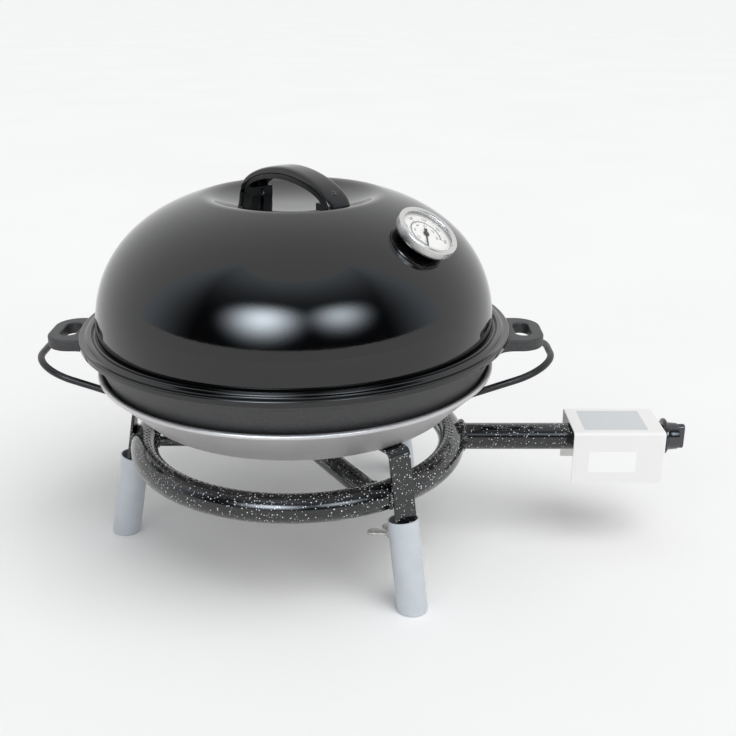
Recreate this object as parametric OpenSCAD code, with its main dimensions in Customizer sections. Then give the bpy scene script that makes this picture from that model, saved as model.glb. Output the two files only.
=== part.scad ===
// Gas paella burner with the set that stands on it: paella pan, cast grill pan and domed lid.
// Millimetres, +Z up, standing on z = 0, with the middle of its outline over the origin.

/* [Burner ring] */
// Outside diameter of the burner ring
ring_od = 350; // [320:1:380]
// Outside diameter of the ring's tube
ring_tube_d = 28; // [25:0.5:30]
// Wall of the ring's tube
ring_wall = 1.5; // [1:0.1:2.5]
// Height of the ring's centre above the floor
ring_z = 113; // [105:1:130]
// Outside diameter of a spoke
spoke_d = 22; // [18:0.5:24]
// Wall of a spoke
spoke_wall = 1.5; // [1:0.1:2.5]
// Diameter of a gas port
port_d = 2.6; // [1.5:0.1:3]
// Ports in one row round the ring
ring_ports = 54; // [30:6:72]
// Ports in one row along a spoke
spoke_ports = 9; // [4:1:10]
// Distance between the ports of a spoke
spoke_port_pitch = 12; // [8:0.5:13]

/* [Arm] */
// Outside diameter of the arm
arm_d = 28; // [22:0.5:28]
// Wall of the arm
arm_wall = 1.5; // [1:0.1:2.5]
// Length of the arm from the ring's outside to its open mouth
arm_len = 150; // [120:1:200]
// Height of the weld round the foot of the arm
weld_size = 5; // [2:0.5:6]

/* [Legs and brackets] */
// Outside diameter of a leg
leg_d = 30; // [28:0.5:34]
// Wall of a leg
leg_wall = 1.5; // [1:0.1:2]
// Lean of a leg from the upright
leg_tilt = 10; // [6:0.5:12]
// Angle between the arm and each of the two nearer legs
leg_angle = 53; // [48:1:60]
// Distance down the bracket from the ring's centre to the top of a leg
leg_top = 24; // [20:0.5:30]
// Thickness of the bracket bar
bar_t = 3; // [2:0.25:4]
// Distance of the bar from the middle of the leg
bar_offset = 4.5; // [3:0.25:5]
// Length of the bar inside the leg
bar_grip = 74; // [50:1:75]
// Height of the pan's seat above the floor
seat_z = 160; // [150:1:180]
// Overlap of a pan seat under the flat of the pan
seat_lap = 16.5; // [12:0.5:24]
// Least reach of a pan seat in from the middle of the ring's tube
seat_len = 15; // [12:0.5:24]
// Bend radius inside the top of the bracket
bar_bend = 4; // [2:0.5:8]

/* [Wing screws] */
// Thread diameter of a wing screw
screw_d = 6; // [5:0.5:8]
// Distance of the screw below the top of its leg
screw_drop = 20; // [16:0.5:30]
// Span across the wings
wing_span = 30; // [22:1:34]
// Height of the wings above the hub
wing_h = 20; // [14:1:24]
// Thickness of the wings
wing_t = 3.5; // [2:0.5:5]

/* [Control box] */
// Length of the cover
cover_len = 95; // [90:1:120]
// Width of the cover
cover_w = 67; // [50:1:80]
// Height of the cover above the arm's centre
cover_up = 18; // [16:0.5:30]
// Depth of the cover below the arm's centre
cover_down = 39; // [34:0.5:50]
// Sheet of the cover
cover_t = 1.2; // [0.8:0.1:2]
// Bend radius outside the cover's edges
cover_bend = 3; // [2:0.5:6]
// Length of the arm that the cover hides
cover_lap = 40; // [30:1:42]

/* [Gas tap] */
// Diameter of the tap's barrel
tap_d = 24; // [20:0.5:28]
// Diameter of the threaded bush at its front
bush_d = 12; // [10:0.5:14]
// Diameter of the spindle
spindle_d = 6; // [5:0.5:7]
// Gap for air between the arm's mouth and the tap's strap
air_gap = 9; // [6:0.5:14]
// Sheet of the strap that carries the tap
strap_t = 3; // [2:0.5:4]
// Diameter of the gas inlet's thread
inlet_d = 13.2; // [10:0.1:16]
// Length of the gas inlet's thread
inlet_len = 12; // [8:0.5:13]
// Travel of the spindle when it is pressed
push_travel = 3; // [1:0.5:4]

/* [Control knob] */
// Diameter of the knob's skirt
skirt_d = 38; // [34:0.5:46]
// Thickness of the skirt
skirt_t = 3; // [2:0.5:5]
// Diameter of the knob's body
knob_d = 30; // [27:0.5:33]
// Length of the body in front of the skirt
knob_len = 13; // [12:0.5:20]
// Height of the grip bar on the knob
grip_h = 7; // [4:0.5:10]
// Thickness of the grip bar
grip_t = 9; // [6:0.5:12]

/* [Paella pan] */
// Diameter of the pan over its rim
pan_d = 400; // [360:1:440]
// Distance that the pan's side leans out
pan_flare = 40; // [34:0.5:46]
// Height of the pan
pan_h = 43; // [40:0.5:50]
// Sheet of the pan
pan_t = 1.5; // [1:0.1:2]
// Radius outside the corner of the base
pan_corner = 8; // [5:0.5:16]
// Diameter of the rolled rim
bead_d = 5; // [3:0.25:6]
// Diameter of the wire of the handles
wire_d = 7; // [5:0.5:8]
// Width of a handle's loop between wire centres
loop_w = 104; // [90:1:120]
// Reach of a handle past the pan's rim
loop_out = 62; // [50:1:80]
// Corner radius of the loop
loop_corner = 42; // [24:1:44]
// Rise of the loop
loop_rise = 14; // [10:0.5:17]
// Height of the rivets above the pan's base
rivet_z = 20; // [16:0.5:21]
// Shank diameter of a rivet
rivet_d = 5; // [4:0.25:6]

/* [Grill pan] */
// Distance of its base's edge outside the paella pan's base
grill_over = 26; // [24:0.25:28]
// Distance that its side leans out
grill_flare = 21; // [17:0.5:26]
// Height of the grill pan
grill_h = 52; // [48:0.5:60]
// Wall and floor of the casting
grill_t = 6; // [4:0.25:7]
// Radius outside the corner of the base
grill_corner = 15; // [8:0.5:17]
// Overhang of the rim outside the wall
rim_lip = 3; // [2:0.25:4]
// Height of the rim
rim_h = 9; // [7:0.5:12]
// Distance from one ridge to the next
ridge_pitch = 9; // [7:0.25:14]
// Width of the groove between ridges
groove_w = 3; // [2:0.25:4]
// Height of the ridges
ridge_h = 3; // [2:0.25:5]
// Diameter of the plain disc in the middle
disc_d = 57; // [40:1:80]
// Reach of a handle past the rim
ear_reach = 40; // [34:1:50]
// Width of a handle
ear_w = 74; // [60:1:90]
// Radius of the sweep from a handle into the rim
ear_sweep = 20; // [10:1:26]
// Thickness of a handle
ear_t = 12; // [8:0.5:16]
// Distance of a handle below the rim
ear_drop = 6; // [5:0.5:10]
// Length of the finger hole in a handle
hole_len = 40; // [24:1:48]
// Width of the finger hole
hole_w = 16; // [10:0.5:18]

/* [Lid] */
// Gap between the lid's lip and the grill pan's rim
lip_clear = 3.8; // [1:0.1:6]
// Width of the edge outside the dome
edge_w = 16.5; // [14:0.5:20]
// Height of the dome above the edge
dome_h = 143; // [130:1:160]
// Fullness of the dome, 2 for an ellipse
dome_power = 2.35; // [2.1:0.05:2.6]
// Sheet of the lid
lid_t = 1.2; // [0.8:0.1:1.6]
// Depth of the lip that drops round the grill pan's rim
lip_drop = 4; // [2:0.5:4.5]
// Height of the raised band round the foot of the dome
band_h = 4; // [2:0.5:6]
// Radius of the dish in the top
dish_r = 85; // [80:1:92]
// Depth of the dish
dish_depth = 14; // [10:0.5:20]
// Softness of the edge between dish and dome
crest_soft = 6; // [3:0.5:9]

/* [Lid handle] */
// Distance of the handle's ends from the edge of the dish
handle_inset = 14; // [10:0.5:20]
// Height of the handle above the floor of the dish
handle_h = 39; // [34:0.5:48]
// Width of the handle's strap
handle_w = 25; // [20:1:32]
// Thickness of the grip over its bracket
grip_shell = 7; // [5:0.5:8]
// Thickness of the bracket under the grip
frame_t = 5; // [3:0.5:6]
// Length of a foot of the bracket
foot_len = 14; // [10:1:20]
// Angle of the handle across the lid
handle_turn = -48; // [-60:1:60]

/* [Thermometer] */
// Diameter of the thermometer over its bezel
gauge_d = 60; // [50:1:64]
// Depth of its case
gauge_h = 12; // [10:0.5:16]
// Distance of the thermometer's middle in from the foot of the dome
gauge_in = 50.5; // [46:0.5:60]
// Direction of the thermometer round the lid
gauge_turn = -35; // [-60:1:-20]
// Diameter of the probe
probe_d = 6; // [4:0.5:7]
// Length of the probe below the dome
probe_len = 42; // [30:1:50]

/* [Hidden] */
$fn = 96;

// Clearances, and the amount that every cut runs past the face it opens
slip = 0.05;
joint_gap = 0.1;
seat_gap = 0.3;
leg_slip = 0.08;
overrun = 2;
arc_steps = 6;

// Pans and lid, one seated on the other
pan_base_d = pan_d - 2 * pan_flare;
pan_lean = atan2(pan_h, pan_flare);
pan_flat_r = pan_base_d / 2 - pan_corner * tan(pan_lean / 2);
grill_base_d = pan_base_d + 2 * grill_over;
grill_side_r = grill_base_d / 2 + grill_flare;
grill_d = 2 * (grill_side_r + rim_lip);
lid_d = grill_d + 2 * (lid_t + lip_clear);

// Ring and arm
ring_r = (ring_od - ring_tube_d) / 2;
ring_bore_d = ring_tube_d - 2 * ring_wall;
port_lean_angles = [12, 38, 64];
spoke_lean_angles = [-28, 0, 28];
spoke_sides = ["left", "front", "rear"];
spoke_angles = [180, -60, 60];
spoke_bore_d = spoke_d - 2 * spoke_wall;
spoke_port_start = (ring_r - ring_tube_d / 2 - (spoke_ports - 1) * spoke_port_pitch) / 2;
spoke_clear_angle = asin((spoke_d / 2 + port_d) / ring_r);
arm_mouth_x = ring_od / 2 + arm_len;
arm_bore_d = arm_d - 2 * arm_wall;
weld_x0 = ring_r + 0.4 * ring_tube_d;

// Legs and brackets
leg_sides = ["left", "front", "rear"];
leg_angles = [180, -leg_angle, leg_angle];
leg_bore_d = leg_d - 2 * leg_wall;
bar_in_x = ring_tube_d / 2;
bar_out_x = bar_in_x + bar_t;
bar_w = 2 * sqrt(pow(leg_bore_d / 2 - leg_slip, 2) - pow(bar_offset + bar_t / 2, 2));
bar_tip = leg_top + bar_grip;
leg_x = bar_in_x + bar_t / 2 - bar_offset;
leg_reach = (ring_z + (leg_x + leg_d) * sin(leg_tilt)) / cos(leg_tilt) + overrun;
seat_up = seat_z - ring_z;
seat_in = min(pan_flat_r - seat_lap, ring_r - seat_len) - ring_r;
bend_out = bar_bend + bar_t;
bend_z = seat_up - bend_out;
bend_x = (bar_out_x - bend_out - bend_z * sin(leg_tilt)) / cos(leg_tilt);

// Wing screws and the nuts set in the legs
screw_s = leg_top + screw_drop;
nut_d = 1.5 * screw_d;
nut_flange_d = 1.9 * screw_d;
nut_flange_t = 0.2 * screw_d;
nut_len = 1.4 * screw_d;
hub_d = 1.8 * screw_d;
hub_len = 1.3 * screw_d;
hub_x = leg_x - leg_d / 2 - nut_flange_t - joint_gap;
wing_r = wing_span / 5;

// Control box and tap
axis_z = ring_z;
cover_x0 = arm_mouth_x - cover_lap;
cover_x1 = cover_x0 + cover_len;
strap_x = arm_mouth_x + air_gap;
strap_w = 0.9 * tap_d;
strap_lap = 0.7 * cover_lap;
tap_x0 = strap_x + strap_t;
wall_in_x = cover_x1 - cover_t;
shoulder_d = 1.5 * bush_d;
shoulder_len = bush_d / 2;
chamber_d = 0.6 * tap_d;
collar_t = spindle_d / 2;
chamber_len = 4 * push_travel + collar_t;
chamber_x1 = wall_in_x - shoulder_len;
nut_t = 0.3 * bush_d;
nut_af = 1.45 * bush_d;
bush_proud = 0.1 * bush_d;
bush_end_x = cover_x1 + nut_t + bush_proud;
jet_d = 0.8 * bush_d;
jet_af = bush_d;
jet_hex_t = 0.6 * air_gap;
jet_nose_d = 0.6 * bush_d;
jet_hole_d = jet_nose_d / 4;
jet_reach = 1.2 * air_gap;
jet_thread = 0.7 * bush_d;
inlet_x = tap_x0 + 0.55 * tap_d;
inlet_bore_d = 0.45 * inlet_d;
boss_d = 1.3 * inlet_d;
boss_end = tap_d / 2 + 0.3 * inlet_d;
inlet_hex_af = 1.3 * inlet_d;
inlet_hex_t = 0.3 * inlet_d;

// Knob, hollow behind so that it closes over the nut
knob_gap = nut_t + bush_proud;
knob_x0 = cover_x1 + knob_gap;
knob_hollow_d = 0.8 * knob_d;
knob_hollow_len = push_travel + 0.45 * knob_len;
knob_x1 = knob_x0 + skirt_t + knob_len;
knob_socket_x = knob_x1 - 0.2 * knob_len;
cap_t = 0.15 * grip_h;
cap_d = 0.75 * knob_d;
collar_x1 = chamber_x1 - seat_gap;

// Paella pan, standing on the bracket seats
pan_z = seat_z + seat_gap;
loop_reach = pan_d / 2 + loop_out;
loop_angle = asin(loop_w / 2 / pan_side_r(rivet_z));
loop_root_x = pan_side_r(rivet_z) * cos(loop_angle);
loop_run = loop_reach - wire_d / 2 - loop_root_x;
loop_lift = atan2(loop_rise + pan_h - rivet_z - wire_d, loop_run);
loop_len = loop_run / cos(loop_lift);
paddle_w = 2 * wire_d;
paddle_t = 0.4 * wire_d;
rivet_head_d = 1.8 * rivet_d;
rivet_head_h = 0.4 * rivet_d;

// Grill pan, seated on the side of the paella pan
grill_lean = atan2(grill_h, grill_flare);
grill_flat_r = grill_base_d / 2 - grill_corner * tan(grill_lean / 2);
grill_seat = (pan_t + grill_corner + seat_gap + (grill_flat_r - pan_base_d / 2) * sin(pan_lean))
    / cos(pan_lean) - grill_corner;
grill_z = pan_z + grill_seat;
grill_rim_z = grill_z + grill_h;
grill_in_r = grill_flat_r + (grill_corner - grill_t) * sin(grill_lean);
ridge_count = floor((grill_in_r - disc_d / 2 - groove_w) / ridge_pitch);
ear_round = ear_w / 3;
ear_root_r = grill_base_d / 2;
ear_sweep_y = ear_w / 2 + ear_sweep;
ear_sweep_x = sqrt(pow(grill_side_r + ear_sweep, 2) - pow(ear_sweep_y, 2));

// Lid, resting on the rim of the grill pan
lid_z = grill_rim_z + seat_gap;
dome_r = lid_d / 2 - edge_w;
dome_steps = 40;
dish_steps = 22;
dish_power = 3;
dish_rim_z = dome_curve(dish_r, dome_r, dome_h);
dish_floor_z = lid_z + dish_rim_z - dish_depth;
band_r = (lid_d / 2 + dome_r) / 2 + lid_t;

// Lid handle, an arch that stands in the dish
arch_power = 1.8;
arch_steps = 16;
arch_len = dish_r - handle_inset;
frame_len = arch_len - grip_shell;
foot_t = 0.7 * frame_t;
foot_z = dish_floor_z + dish_lift(norm([arch_len, handle_w / 2])) + joint_gap;
handle_top = dish_floor_z + handle_h - foot_z;
handle_screw_d = 0.8 * frame_t;
handle_head_d = 2 * handle_screw_d;
handle_head_t = handle_screw_d / 2;
screw_up_share = 0.44;
screw_x = arch_len * pow(1 - pow(screw_up_share, arch_power), 1 / arch_power);
screw_lean = atan2(pow(screw_up_share, arch_power - 1) / handle_top,
    pow(screw_x / arch_len, arch_power - 1) / arch_len);

// Thermometer, square to the dome where it stands
gauge_r = dome_r - gauge_in;
gauge_z = dome_curve(gauge_r, dome_r, dome_h);
gauge_lean = atan2(pow(gauge_r / dome_r, dome_power - 1) / dome_r,
    pow(gauge_z / dome_h, dome_power - 1) / dome_h);
gasket_t = 2 * lid_t;
gasket_d = 3 * probe_d;
case_t = gauge_h / 12;
bezel_t = gauge_d / 30;
case_d = gauge_d - bezel_t;
case_z0 = gasket_t;
case_z1 = case_z0 + gauge_h - bezel_t;
dial_z = case_z0 + 0.45 * gauge_h;
dial_t = case_t / 2;
glass_t = 1.2 * case_t;
glass_z = case_z1 - glass_t;
pivot_d = probe_d / 3;
needle_gap = 0.6 * case_t;
needle_t = case_t / 2;
needle_hub_d = probe_d;
needle_len = 0.38 * gauge_d;
needle_tail = 0.12 * gauge_d;
needle_w = 0.035 * gauge_d;
needle_angle = -45;
gauge_nut_af = 2 * probe_d;
gauge_nut_t = 0.7 * probe_d;
gauge_nut_z = -lid_t - seat_gap - gauge_nut_t;

// Overall outline along X, which sets the place of the ring over the origin
reach_left = max(loop_reach, grill_d / 2 + ear_reach);
reach_right = knob_x1 + grip_h;
axis_x = (reach_left - reach_right) / 2;

// Outline and profile helpers
function arc(c, r, from, to) = [for (i = [0 : arc_steps])
    c + r * [cos(from + (to - from) * i / arc_steps), sin(from + (to - from) * i / arc_steps)]];
function pan_side_r(z) = pan_base_d / 2 + z / tan(pan_lean);
function dome_curve(r, a, h) = h * pow(1 - pow(r / a, dome_power), 1 / dome_power);
function dish_lift(r) = dish_depth * pow(r / dish_r, dish_power);
function soft_min(p, q, k) = min(p, q) - k / 4 * pow(max(0, 1 - abs(p - q) / k), 2);
function arch_z(x, a, h) = h * pow(max(0, 1 - pow(abs(x) / a, arch_power)), 1 / arch_power);
function ramp(i, n) = sin(90 * i / n);
function pick(names, values, name) = values[search([name], names)[0]];

// Round bar or tube along X
module rod_x(d, x0, x1) {
    translate([x0, 0, 0]) rotate([0, 90, 0]) cylinder(d = d, h = x1 - x0);
}

module hex_x(af, x0, x1) {
    translate([x0, 0, 0]) rotate([0, 90, 0]) cylinder(d = af / cos(30), h = x1 - x0, $fn = 6);
}

module ring_solid(d) {
    rotate_extrude() translate([ring_r, 0]) circle(d = d);
}

// Square with round ends, lying along X
module stadium(len, w) {
    square([len - w, w], center = true);
    for (side = [-1, 1]) translate([side * (len - w) / 2, 0]) circle(d = w);
}

// Half-open rectangle with two round corners on its far side, standing on y = 0
module round_top(w, h, r) {
    translate([-w / 2, 0]) square([w, h - r]);
    translate([-w / 2 + r, 0]) square([w - 2 * r, h]);
    for (side = [-1, 1]) translate([side * (w / 2 - r), h - r]) circle(r = r);
}

// Places: the ring's centre, one leg's own slanted frame, the tap's axis and the thermometer
module at_ring() {
    translate([axis_x, 0, ring_z]) children();
}

module at_leg(angle) {
    at_ring() rotate([0, 0, angle]) translate([ring_r, 0, 0]) rotate([0, -leg_tilt, 0]) children();
}

module at_floor_cut() {
    difference() {
        children();
        translate([axis_x - ring_od, -ring_od, -ring_od]) cube([2 * ring_od, 2 * ring_od, ring_od]);
    }
}

module at_pan() {
    translate([axis_x, 0, pan_z]) children();
}

module at_gauge() {
    translate([axis_x, 0, lid_z]) rotate([0, 0, gauge_turn]) translate([gauge_r, 0, gauge_z])
        rotate([0, gauge_lean, 0]) children();
}

module at_handle() {
    translate([axis_x, 0, foot_z]) rotate([0, 0, handle_turn]) children();
}

// Burner ring, drilled with rows of ports over its inner shoulder
module ring_tube() {
    color([0.09, 0.09, 0.1]) at_ring() difference() {
        ring_solid(ring_tube_d);
        ring_solid(ring_bore_d);
        rod_x(arm_bore_d, ring_r, ring_od / 2 + overrun);
        for (a = spoke_angles) rotate([0, 0, a]) rod_x(spoke_bore_d, ring_r - ring_tube_d, ring_r);
        for (row = [0 : len(port_lean_angles) - 1], i = [0 : ring_ports - 1])
            ring_port((i + row / 2) * 360 / ring_ports, port_lean_angles[row]);
    }
}

module ring_port(turn, lean) {
    off_spoke = min([for (a = spoke_angles) abs((turn - a + 540) % 360 - 180)]);
    if (off_spoke > spoke_clear_angle)
        rotate([0, 0, turn]) translate([ring_r, 0, 0]) rotate([0, -lean, 0])
            translate([0, 0, ring_bore_d / 2 - overrun]) cylinder(d = port_d, h = ring_wall + 2 * overrun);
}

// Spoke from the mitre at the middle to the saddle cut against the ring
module spoke(angle) {
    color([0.09, 0.09, 0.1]) at_ring() rotate([0, 0, angle]) difference() {
        intersection() {
            rod_x(spoke_d, 0, ring_r);
            translate([0, 0, -spoke_d]) linear_extrude(2 * spoke_d)
                polygon([[0, 0], [ring_r, -ring_r * tan(60)], [ring_r, ring_r * tan(60)]]);
        }
        rod_x(spoke_bore_d, -overrun, ring_r + overrun);
        ring_solid(ring_tube_d + 2 * joint_gap);
        for (lean = spoke_lean_angles, i = [0 : spoke_ports - 1])
            translate([spoke_port_start + i * spoke_port_pitch, 0, 0]) rotate([lean, 0, 0])
                translate([0, 0, spoke_bore_d / 2 - overrun]) cylinder(d = port_d, h = spoke_wall + 2 * overrun);
    }
}

module arm_tube() {
    color([0.09, 0.09, 0.1]) at_ring() difference() {
        rod_x(arm_d, ring_r, arm_mouth_x);
        rod_x(arm_bore_d, ring_r - overrun, arm_mouth_x + overrun);
        ring_solid(ring_tube_d + 2 * joint_gap);
    }
}

module arm_weld() {
    color([0.09, 0.09, 0.1]) at_ring() difference() {
        translate([ring_r, 0, 0]) rotate([0, 90, 0]) cylinder(d1 = arm_d + 2 * weld_size + ring_tube_d,
            d2 = arm_d, h = ring_tube_d / 2 + weld_size);
        rod_x(arm_d + joint_gap, ring_r - overrun, arm_mouth_x);
        ring_solid(ring_tube_d + joint_gap);
        translate([0, -ring_od / 2, -ring_od / 2]) cube([weld_x0, ring_od, ring_od]);
    }
}

// Bracket bent from flat bar: seat for the pan above, tongue for the leg below
module bracket(angle) {
    top = [bend_x, bend_z];
    down = [sin(leg_tilt), -cos(leg_tilt)];
    out = [cos(leg_tilt), sin(leg_tilt)];
    outline = concat([bar_out_x * out + bar_tip * down], arc(top, bend_out, leg_tilt, 90),
        [[seat_in, seat_up], [seat_in, seat_up - bar_t]], arc(top, bar_bend, 90, leg_tilt),
        [bar_in_x * out + bar_tip * down]);
    color([0.13, 0.13, 0.14]) at_ring() rotate([0, 0, angle]) translate([ring_r, 0, 0])
        rotate([90, 0, 0]) linear_extrude(bar_w, center = true) polygon(outline);
}

module leg(angle) {
    color([0.66, 0.69, 0.72]) at_floor_cut() at_leg(angle) difference() {
        translate([leg_x, 0, -leg_reach]) cylinder(d = leg_d, h = leg_reach - leg_top);
        translate([leg_x, 0, -leg_reach - overrun])
            cylinder(d = leg_bore_d, h = leg_reach - leg_top + 2 * overrun);
        translate([0, 0, -screw_s]) rod_x(nut_d + 2 * joint_gap, leg_x - leg_d, leg_x);
    }
}

module foot_plug(angle) {
    color([0.55, 0.57, 0.6]) at_floor_cut() at_leg(angle) translate([leg_x, 0, -leg_reach])
        cylinder(d = leg_bore_d - 2 * slip, h = leg_reach - bar_tip - slip);
}

// Threaded insert in the inner side of a leg
module leg_nut(angle) {
    color([0.7, 0.7, 0.68]) at_leg(angle) translate([0, 0, -screw_s]) difference() {
        union() {
            rod_x(nut_d, leg_x - leg_d / 2, leg_x - leg_d / 2 + nut_len);
            difference() {
                rod_x(nut_flange_d, leg_x - leg_d / 2 - nut_flange_t, leg_x);
                translate([leg_x, 0, -leg_d]) cylinder(d = leg_d, h = 2 * leg_d);
            }
        }
        rod_x(screw_d + 2 * slip, leg_x - leg_d, leg_x);
    }
}

module wing_screw(angle) {
    color([0.72, 0.72, 0.7]) at_leg(angle) translate([0, 0, -screw_s]) {
        rod_x(screw_d, hub_x - hub_len, bar_in_x - seat_gap);
        rod_x(hub_d, hub_x - hub_len, hub_x);
        translate([hub_x - hub_len, 0, 0]) linear_extrude(wing_t, center = true) wings();
    }
}

// Two round-ended wings that spread from the hub
module wings() {
    for (side = [-1, 1]) {
        translate([wing_r - wing_h, side * (wing_span / 2 - wing_r)]) circle(r = wing_r);
        polygon([[hub_len / 2, 0], [hub_len / 2, side * hub_d / 2], [wing_r - wing_h, side * wing_span / 2],
            [wing_r - wing_h, side * (wing_span / 2 - 2 * wing_r)], [0, 0]]);
    }
}

// Cover folded from one sheet, open below and towards the ring
module control_cover() {
    color([0.93, 0.93, 0.92]) translate([axis_x, 0, axis_z - cover_down]) difference() {
        cover_block(cover_x0, cover_x1, cover_w, cover_up + cover_down, cover_bend);
        translate([0, 0, -overrun]) cover_block(cover_x0 - overrun, wall_in_x, cover_w - 2 * cover_t,
            cover_up + cover_down - cover_t + overrun, cover_bend - cover_t);
        translate([0, 0, cover_down]) rod_x(bush_d + 2 * joint_gap, wall_in_x - overrun, cover_x1 + overrun);
    }
}

module cover_block(x0, x1, w, h, r) {
    translate([x0, 0, 0]) rotate([90, 0, 90]) linear_extrude(x1 - x0) round_top(w, h, r);
}

// Strap welded under the arm and turned up to hold the back of the tap
module tap_strap() {
    strap_z = -arm_d / 2 - strap_t;
    color([0.75, 0.75, 0.73]) at_ring() difference() {
        union() {
            translate([arm_mouth_x - strap_lap, -strap_w / 2, strap_z])
                cube([strap_x + strap_t - arm_mouth_x + strap_lap, strap_w, strap_t]);
            translate([strap_x, 0, 0]) rotate([90, 0, 90]) linear_extrude(strap_t) union() {
                translate([-strap_w / 2, strap_z]) square([strap_w, -strap_z]);
                circle(d = strap_w);
            }
        }
        rod_x(jet_d + 2 * joint_gap, strap_x - overrun, tap_x0 + overrun);
    }
}

// Tap turned from brass, bored for the jet, the spindle and its collar
module tap_body() {
    color([0.78, 0.62, 0.3]) at_ring() difference() {
        union() {
            rod_x(tap_d, tap_x0, chamber_x1);
            rod_x(shoulder_d, chamber_x1, wall_in_x);
            rod_x(bush_d, wall_in_x, bush_end_x);
            translate([inlet_x, 0, -boss_end]) cylinder(d = boss_d, h = boss_end);
        }
        rod_x(chamber_d, chamber_x1 - chamber_len, chamber_x1);
        rod_x(spindle_d + 2 * slip, chamber_x1 - overrun, bush_end_x + overrun);
        rod_x(jet_d + 2 * joint_gap, tap_x0 - overrun, tap_x0 + jet_thread + joint_gap);
        translate([inlet_x, 0, -boss_end - overrun]) cylinder(d = inlet_bore_d, h = boss_end);
    }
}

module tap_nut() {
    color([0.72, 0.72, 0.7]) at_ring() difference() {
        hex_x(nut_af, cover_x1, cover_x1 + nut_t);
        rod_x(bush_d + 2 * joint_gap, cover_x1 - overrun, cover_x1 + nut_t + overrun);
    }
}

// Gas jet that screws the tap to the strap and points into the arm's mouth
module injector() {
    color([0.8, 0.66, 0.36]) at_ring() difference() {
        union() {
            hex_x(jet_af, strap_x - jet_hex_t, strap_x);
            rod_x(jet_nose_d, strap_x - jet_hex_t - jet_reach, strap_x);
            rod_x(jet_d, strap_x, tap_x0 + jet_thread);
        }
        rod_x(jet_hole_d, strap_x - jet_hex_t - jet_reach - overrun, strap_x);
        rod_x(jet_nose_d / 2, strap_x - jet_hex_t, tap_x0 + jet_thread + overrun);
    }
}

module inlet_nipple() {
    color([0.8, 0.66, 0.36]) at_ring() translate([inlet_x, 0, -boss_end - inlet_hex_t]) difference() {
        union() {
            cylinder(d = inlet_hex_af / cos(30), h = inlet_hex_t, $fn = 6);
            translate([0, 0, -inlet_len]) cylinder(d = inlet_d, h = inlet_len);
        }
        translate([0, 0, -inlet_len - overrun])
            cylinder(d = inlet_bore_d, h = inlet_len + inlet_hex_t + 2 * overrun);
    }
}

// Collar that the spindle carries along when it is pressed
module push_collar() {
    color([0.7, 0.7, 0.68]) at_ring() difference() {
        rod_x(chamber_d - 2 * slip, collar_x1 - collar_t, collar_x1);
        rod_x(spindle_d + 2 * slip, collar_x1 - collar_t - overrun, collar_x1 + overrun);
    }
}

module tap_spindle() {
    color([0.78, 0.62, 0.3]) at_ring() rod_x(spindle_d, collar_x1 - collar_t, knob_socket_x);
}

module control_knob() {
    color([0.07, 0.07, 0.08]) at_ring() difference() {
        union() {
            rod_x(skirt_d, knob_x0, knob_x0 + skirt_t);
            translate([knob_x0 + skirt_t, 0, 0]) rotate([0, 90, 0])
                cylinder(d1 = knob_d, d2 = knob_d - knob_len / 5, h = knob_len);
            translate([knob_x1, 0, 0]) rotate([0, 90, 0]) linear_extrude(grip_h)
                stadium(knob_d - knob_len / 5, grip_t);
        }
        rod_x(knob_hollow_d, knob_x0 - overrun, knob_x0 + knob_hollow_len);
        rod_x(spindle_d + 2 * slip, knob_x0, knob_socket_x + slip);
        translate([knob_x1 + grip_h, 0, 0]) rotate([0, 90, 0])
            translate([0, 0, -cap_t]) linear_extrude(cap_t + overrun) stadium(cap_d, grip_t / 2);
    }
}

// Bright strip let into the grip, which shows where the knob points
module knob_cap() {
    color([0.78, 0.78, 0.8]) at_ring() translate([knob_x1 + grip_h - cap_t, 0, 0]) rotate([0, 90, 0])
        linear_extrude(cap_t) stadium(cap_d - 2 * joint_gap, grip_t / 2 - 2 * joint_gap);
}

// Paella pan pressed from sheet, with a rolled rim
module paella_pan() {
    inward = [-sin(pan_lean), cos(pan_lean)];
    bead = [(pan_d - bead_d) / 2, pan_h - bead_d / 2];
    wall_top = [pan_side_r(bead[1]), bead[1]];
    corner = [pan_flat_r, pan_corner];
    outline = concat([[0, 0]], arc(corner, pan_corner, -90, pan_lean - 90),
        [wall_top, wall_top + pan_t * inward], arc(corner, pan_corner - pan_t, pan_lean - 90, -90), [[0, pan_t]]);
    color([0.74, 0.74, 0.75]) at_pan() difference() {
        union() {
            rotate_extrude() polygon(outline);
            rotate_extrude() translate(bead) circle(d = bead_d);
        }
        for (half = [0, 180], turn = [-1, 1]) rotate([0, 0, half + turn * loop_angle]) at_rivet()
            translate([0, 0, -pan_t - overrun]) cylinder(d = rivet_d + 2 * joint_gap, h = 2 * (pan_t + overrun));
    }
}

// Place of a rivet, square to the pan's outer side, with Z pointing out of the pan
module at_rivet() {
    translate([pan_side_r(rivet_z), 0, rivet_z]) rotate([0, 90 + 90 - pan_lean, 0]) children();
}

// Wire loop with flattened ends that lie on the outside of the pan
module pan_handle(half) {
    color([0.05, 0.05, 0.06]) at_pan() rotate([0, 0, half]) difference() {
        union() {
            for (turn = [-1, 1]) rotate([0, 0, turn * loop_angle]) at_rivet() translate([0, 0, joint_gap])
                linear_extrude(paddle_t) stadium(2 * paddle_w, paddle_w);
            translate([loop_root_x, 0, rivet_z]) rotate([0, -loop_lift, 0]) loop_wire();
        }
        rotate_extrude() polygon([[0, 0], [pan_side_r(0) + joint_gap, 0],
            [pan_side_r(pan_h) + joint_gap, pan_h], [0, pan_h]]);
        for (turn = [-1, 1]) rotate([0, 0, turn * loop_angle]) at_rivet() translate([0, 0, -overrun])
            cylinder(d = rivet_d + 2 * joint_gap, h = wire_d + 2 * overrun);
    }
}

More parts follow.
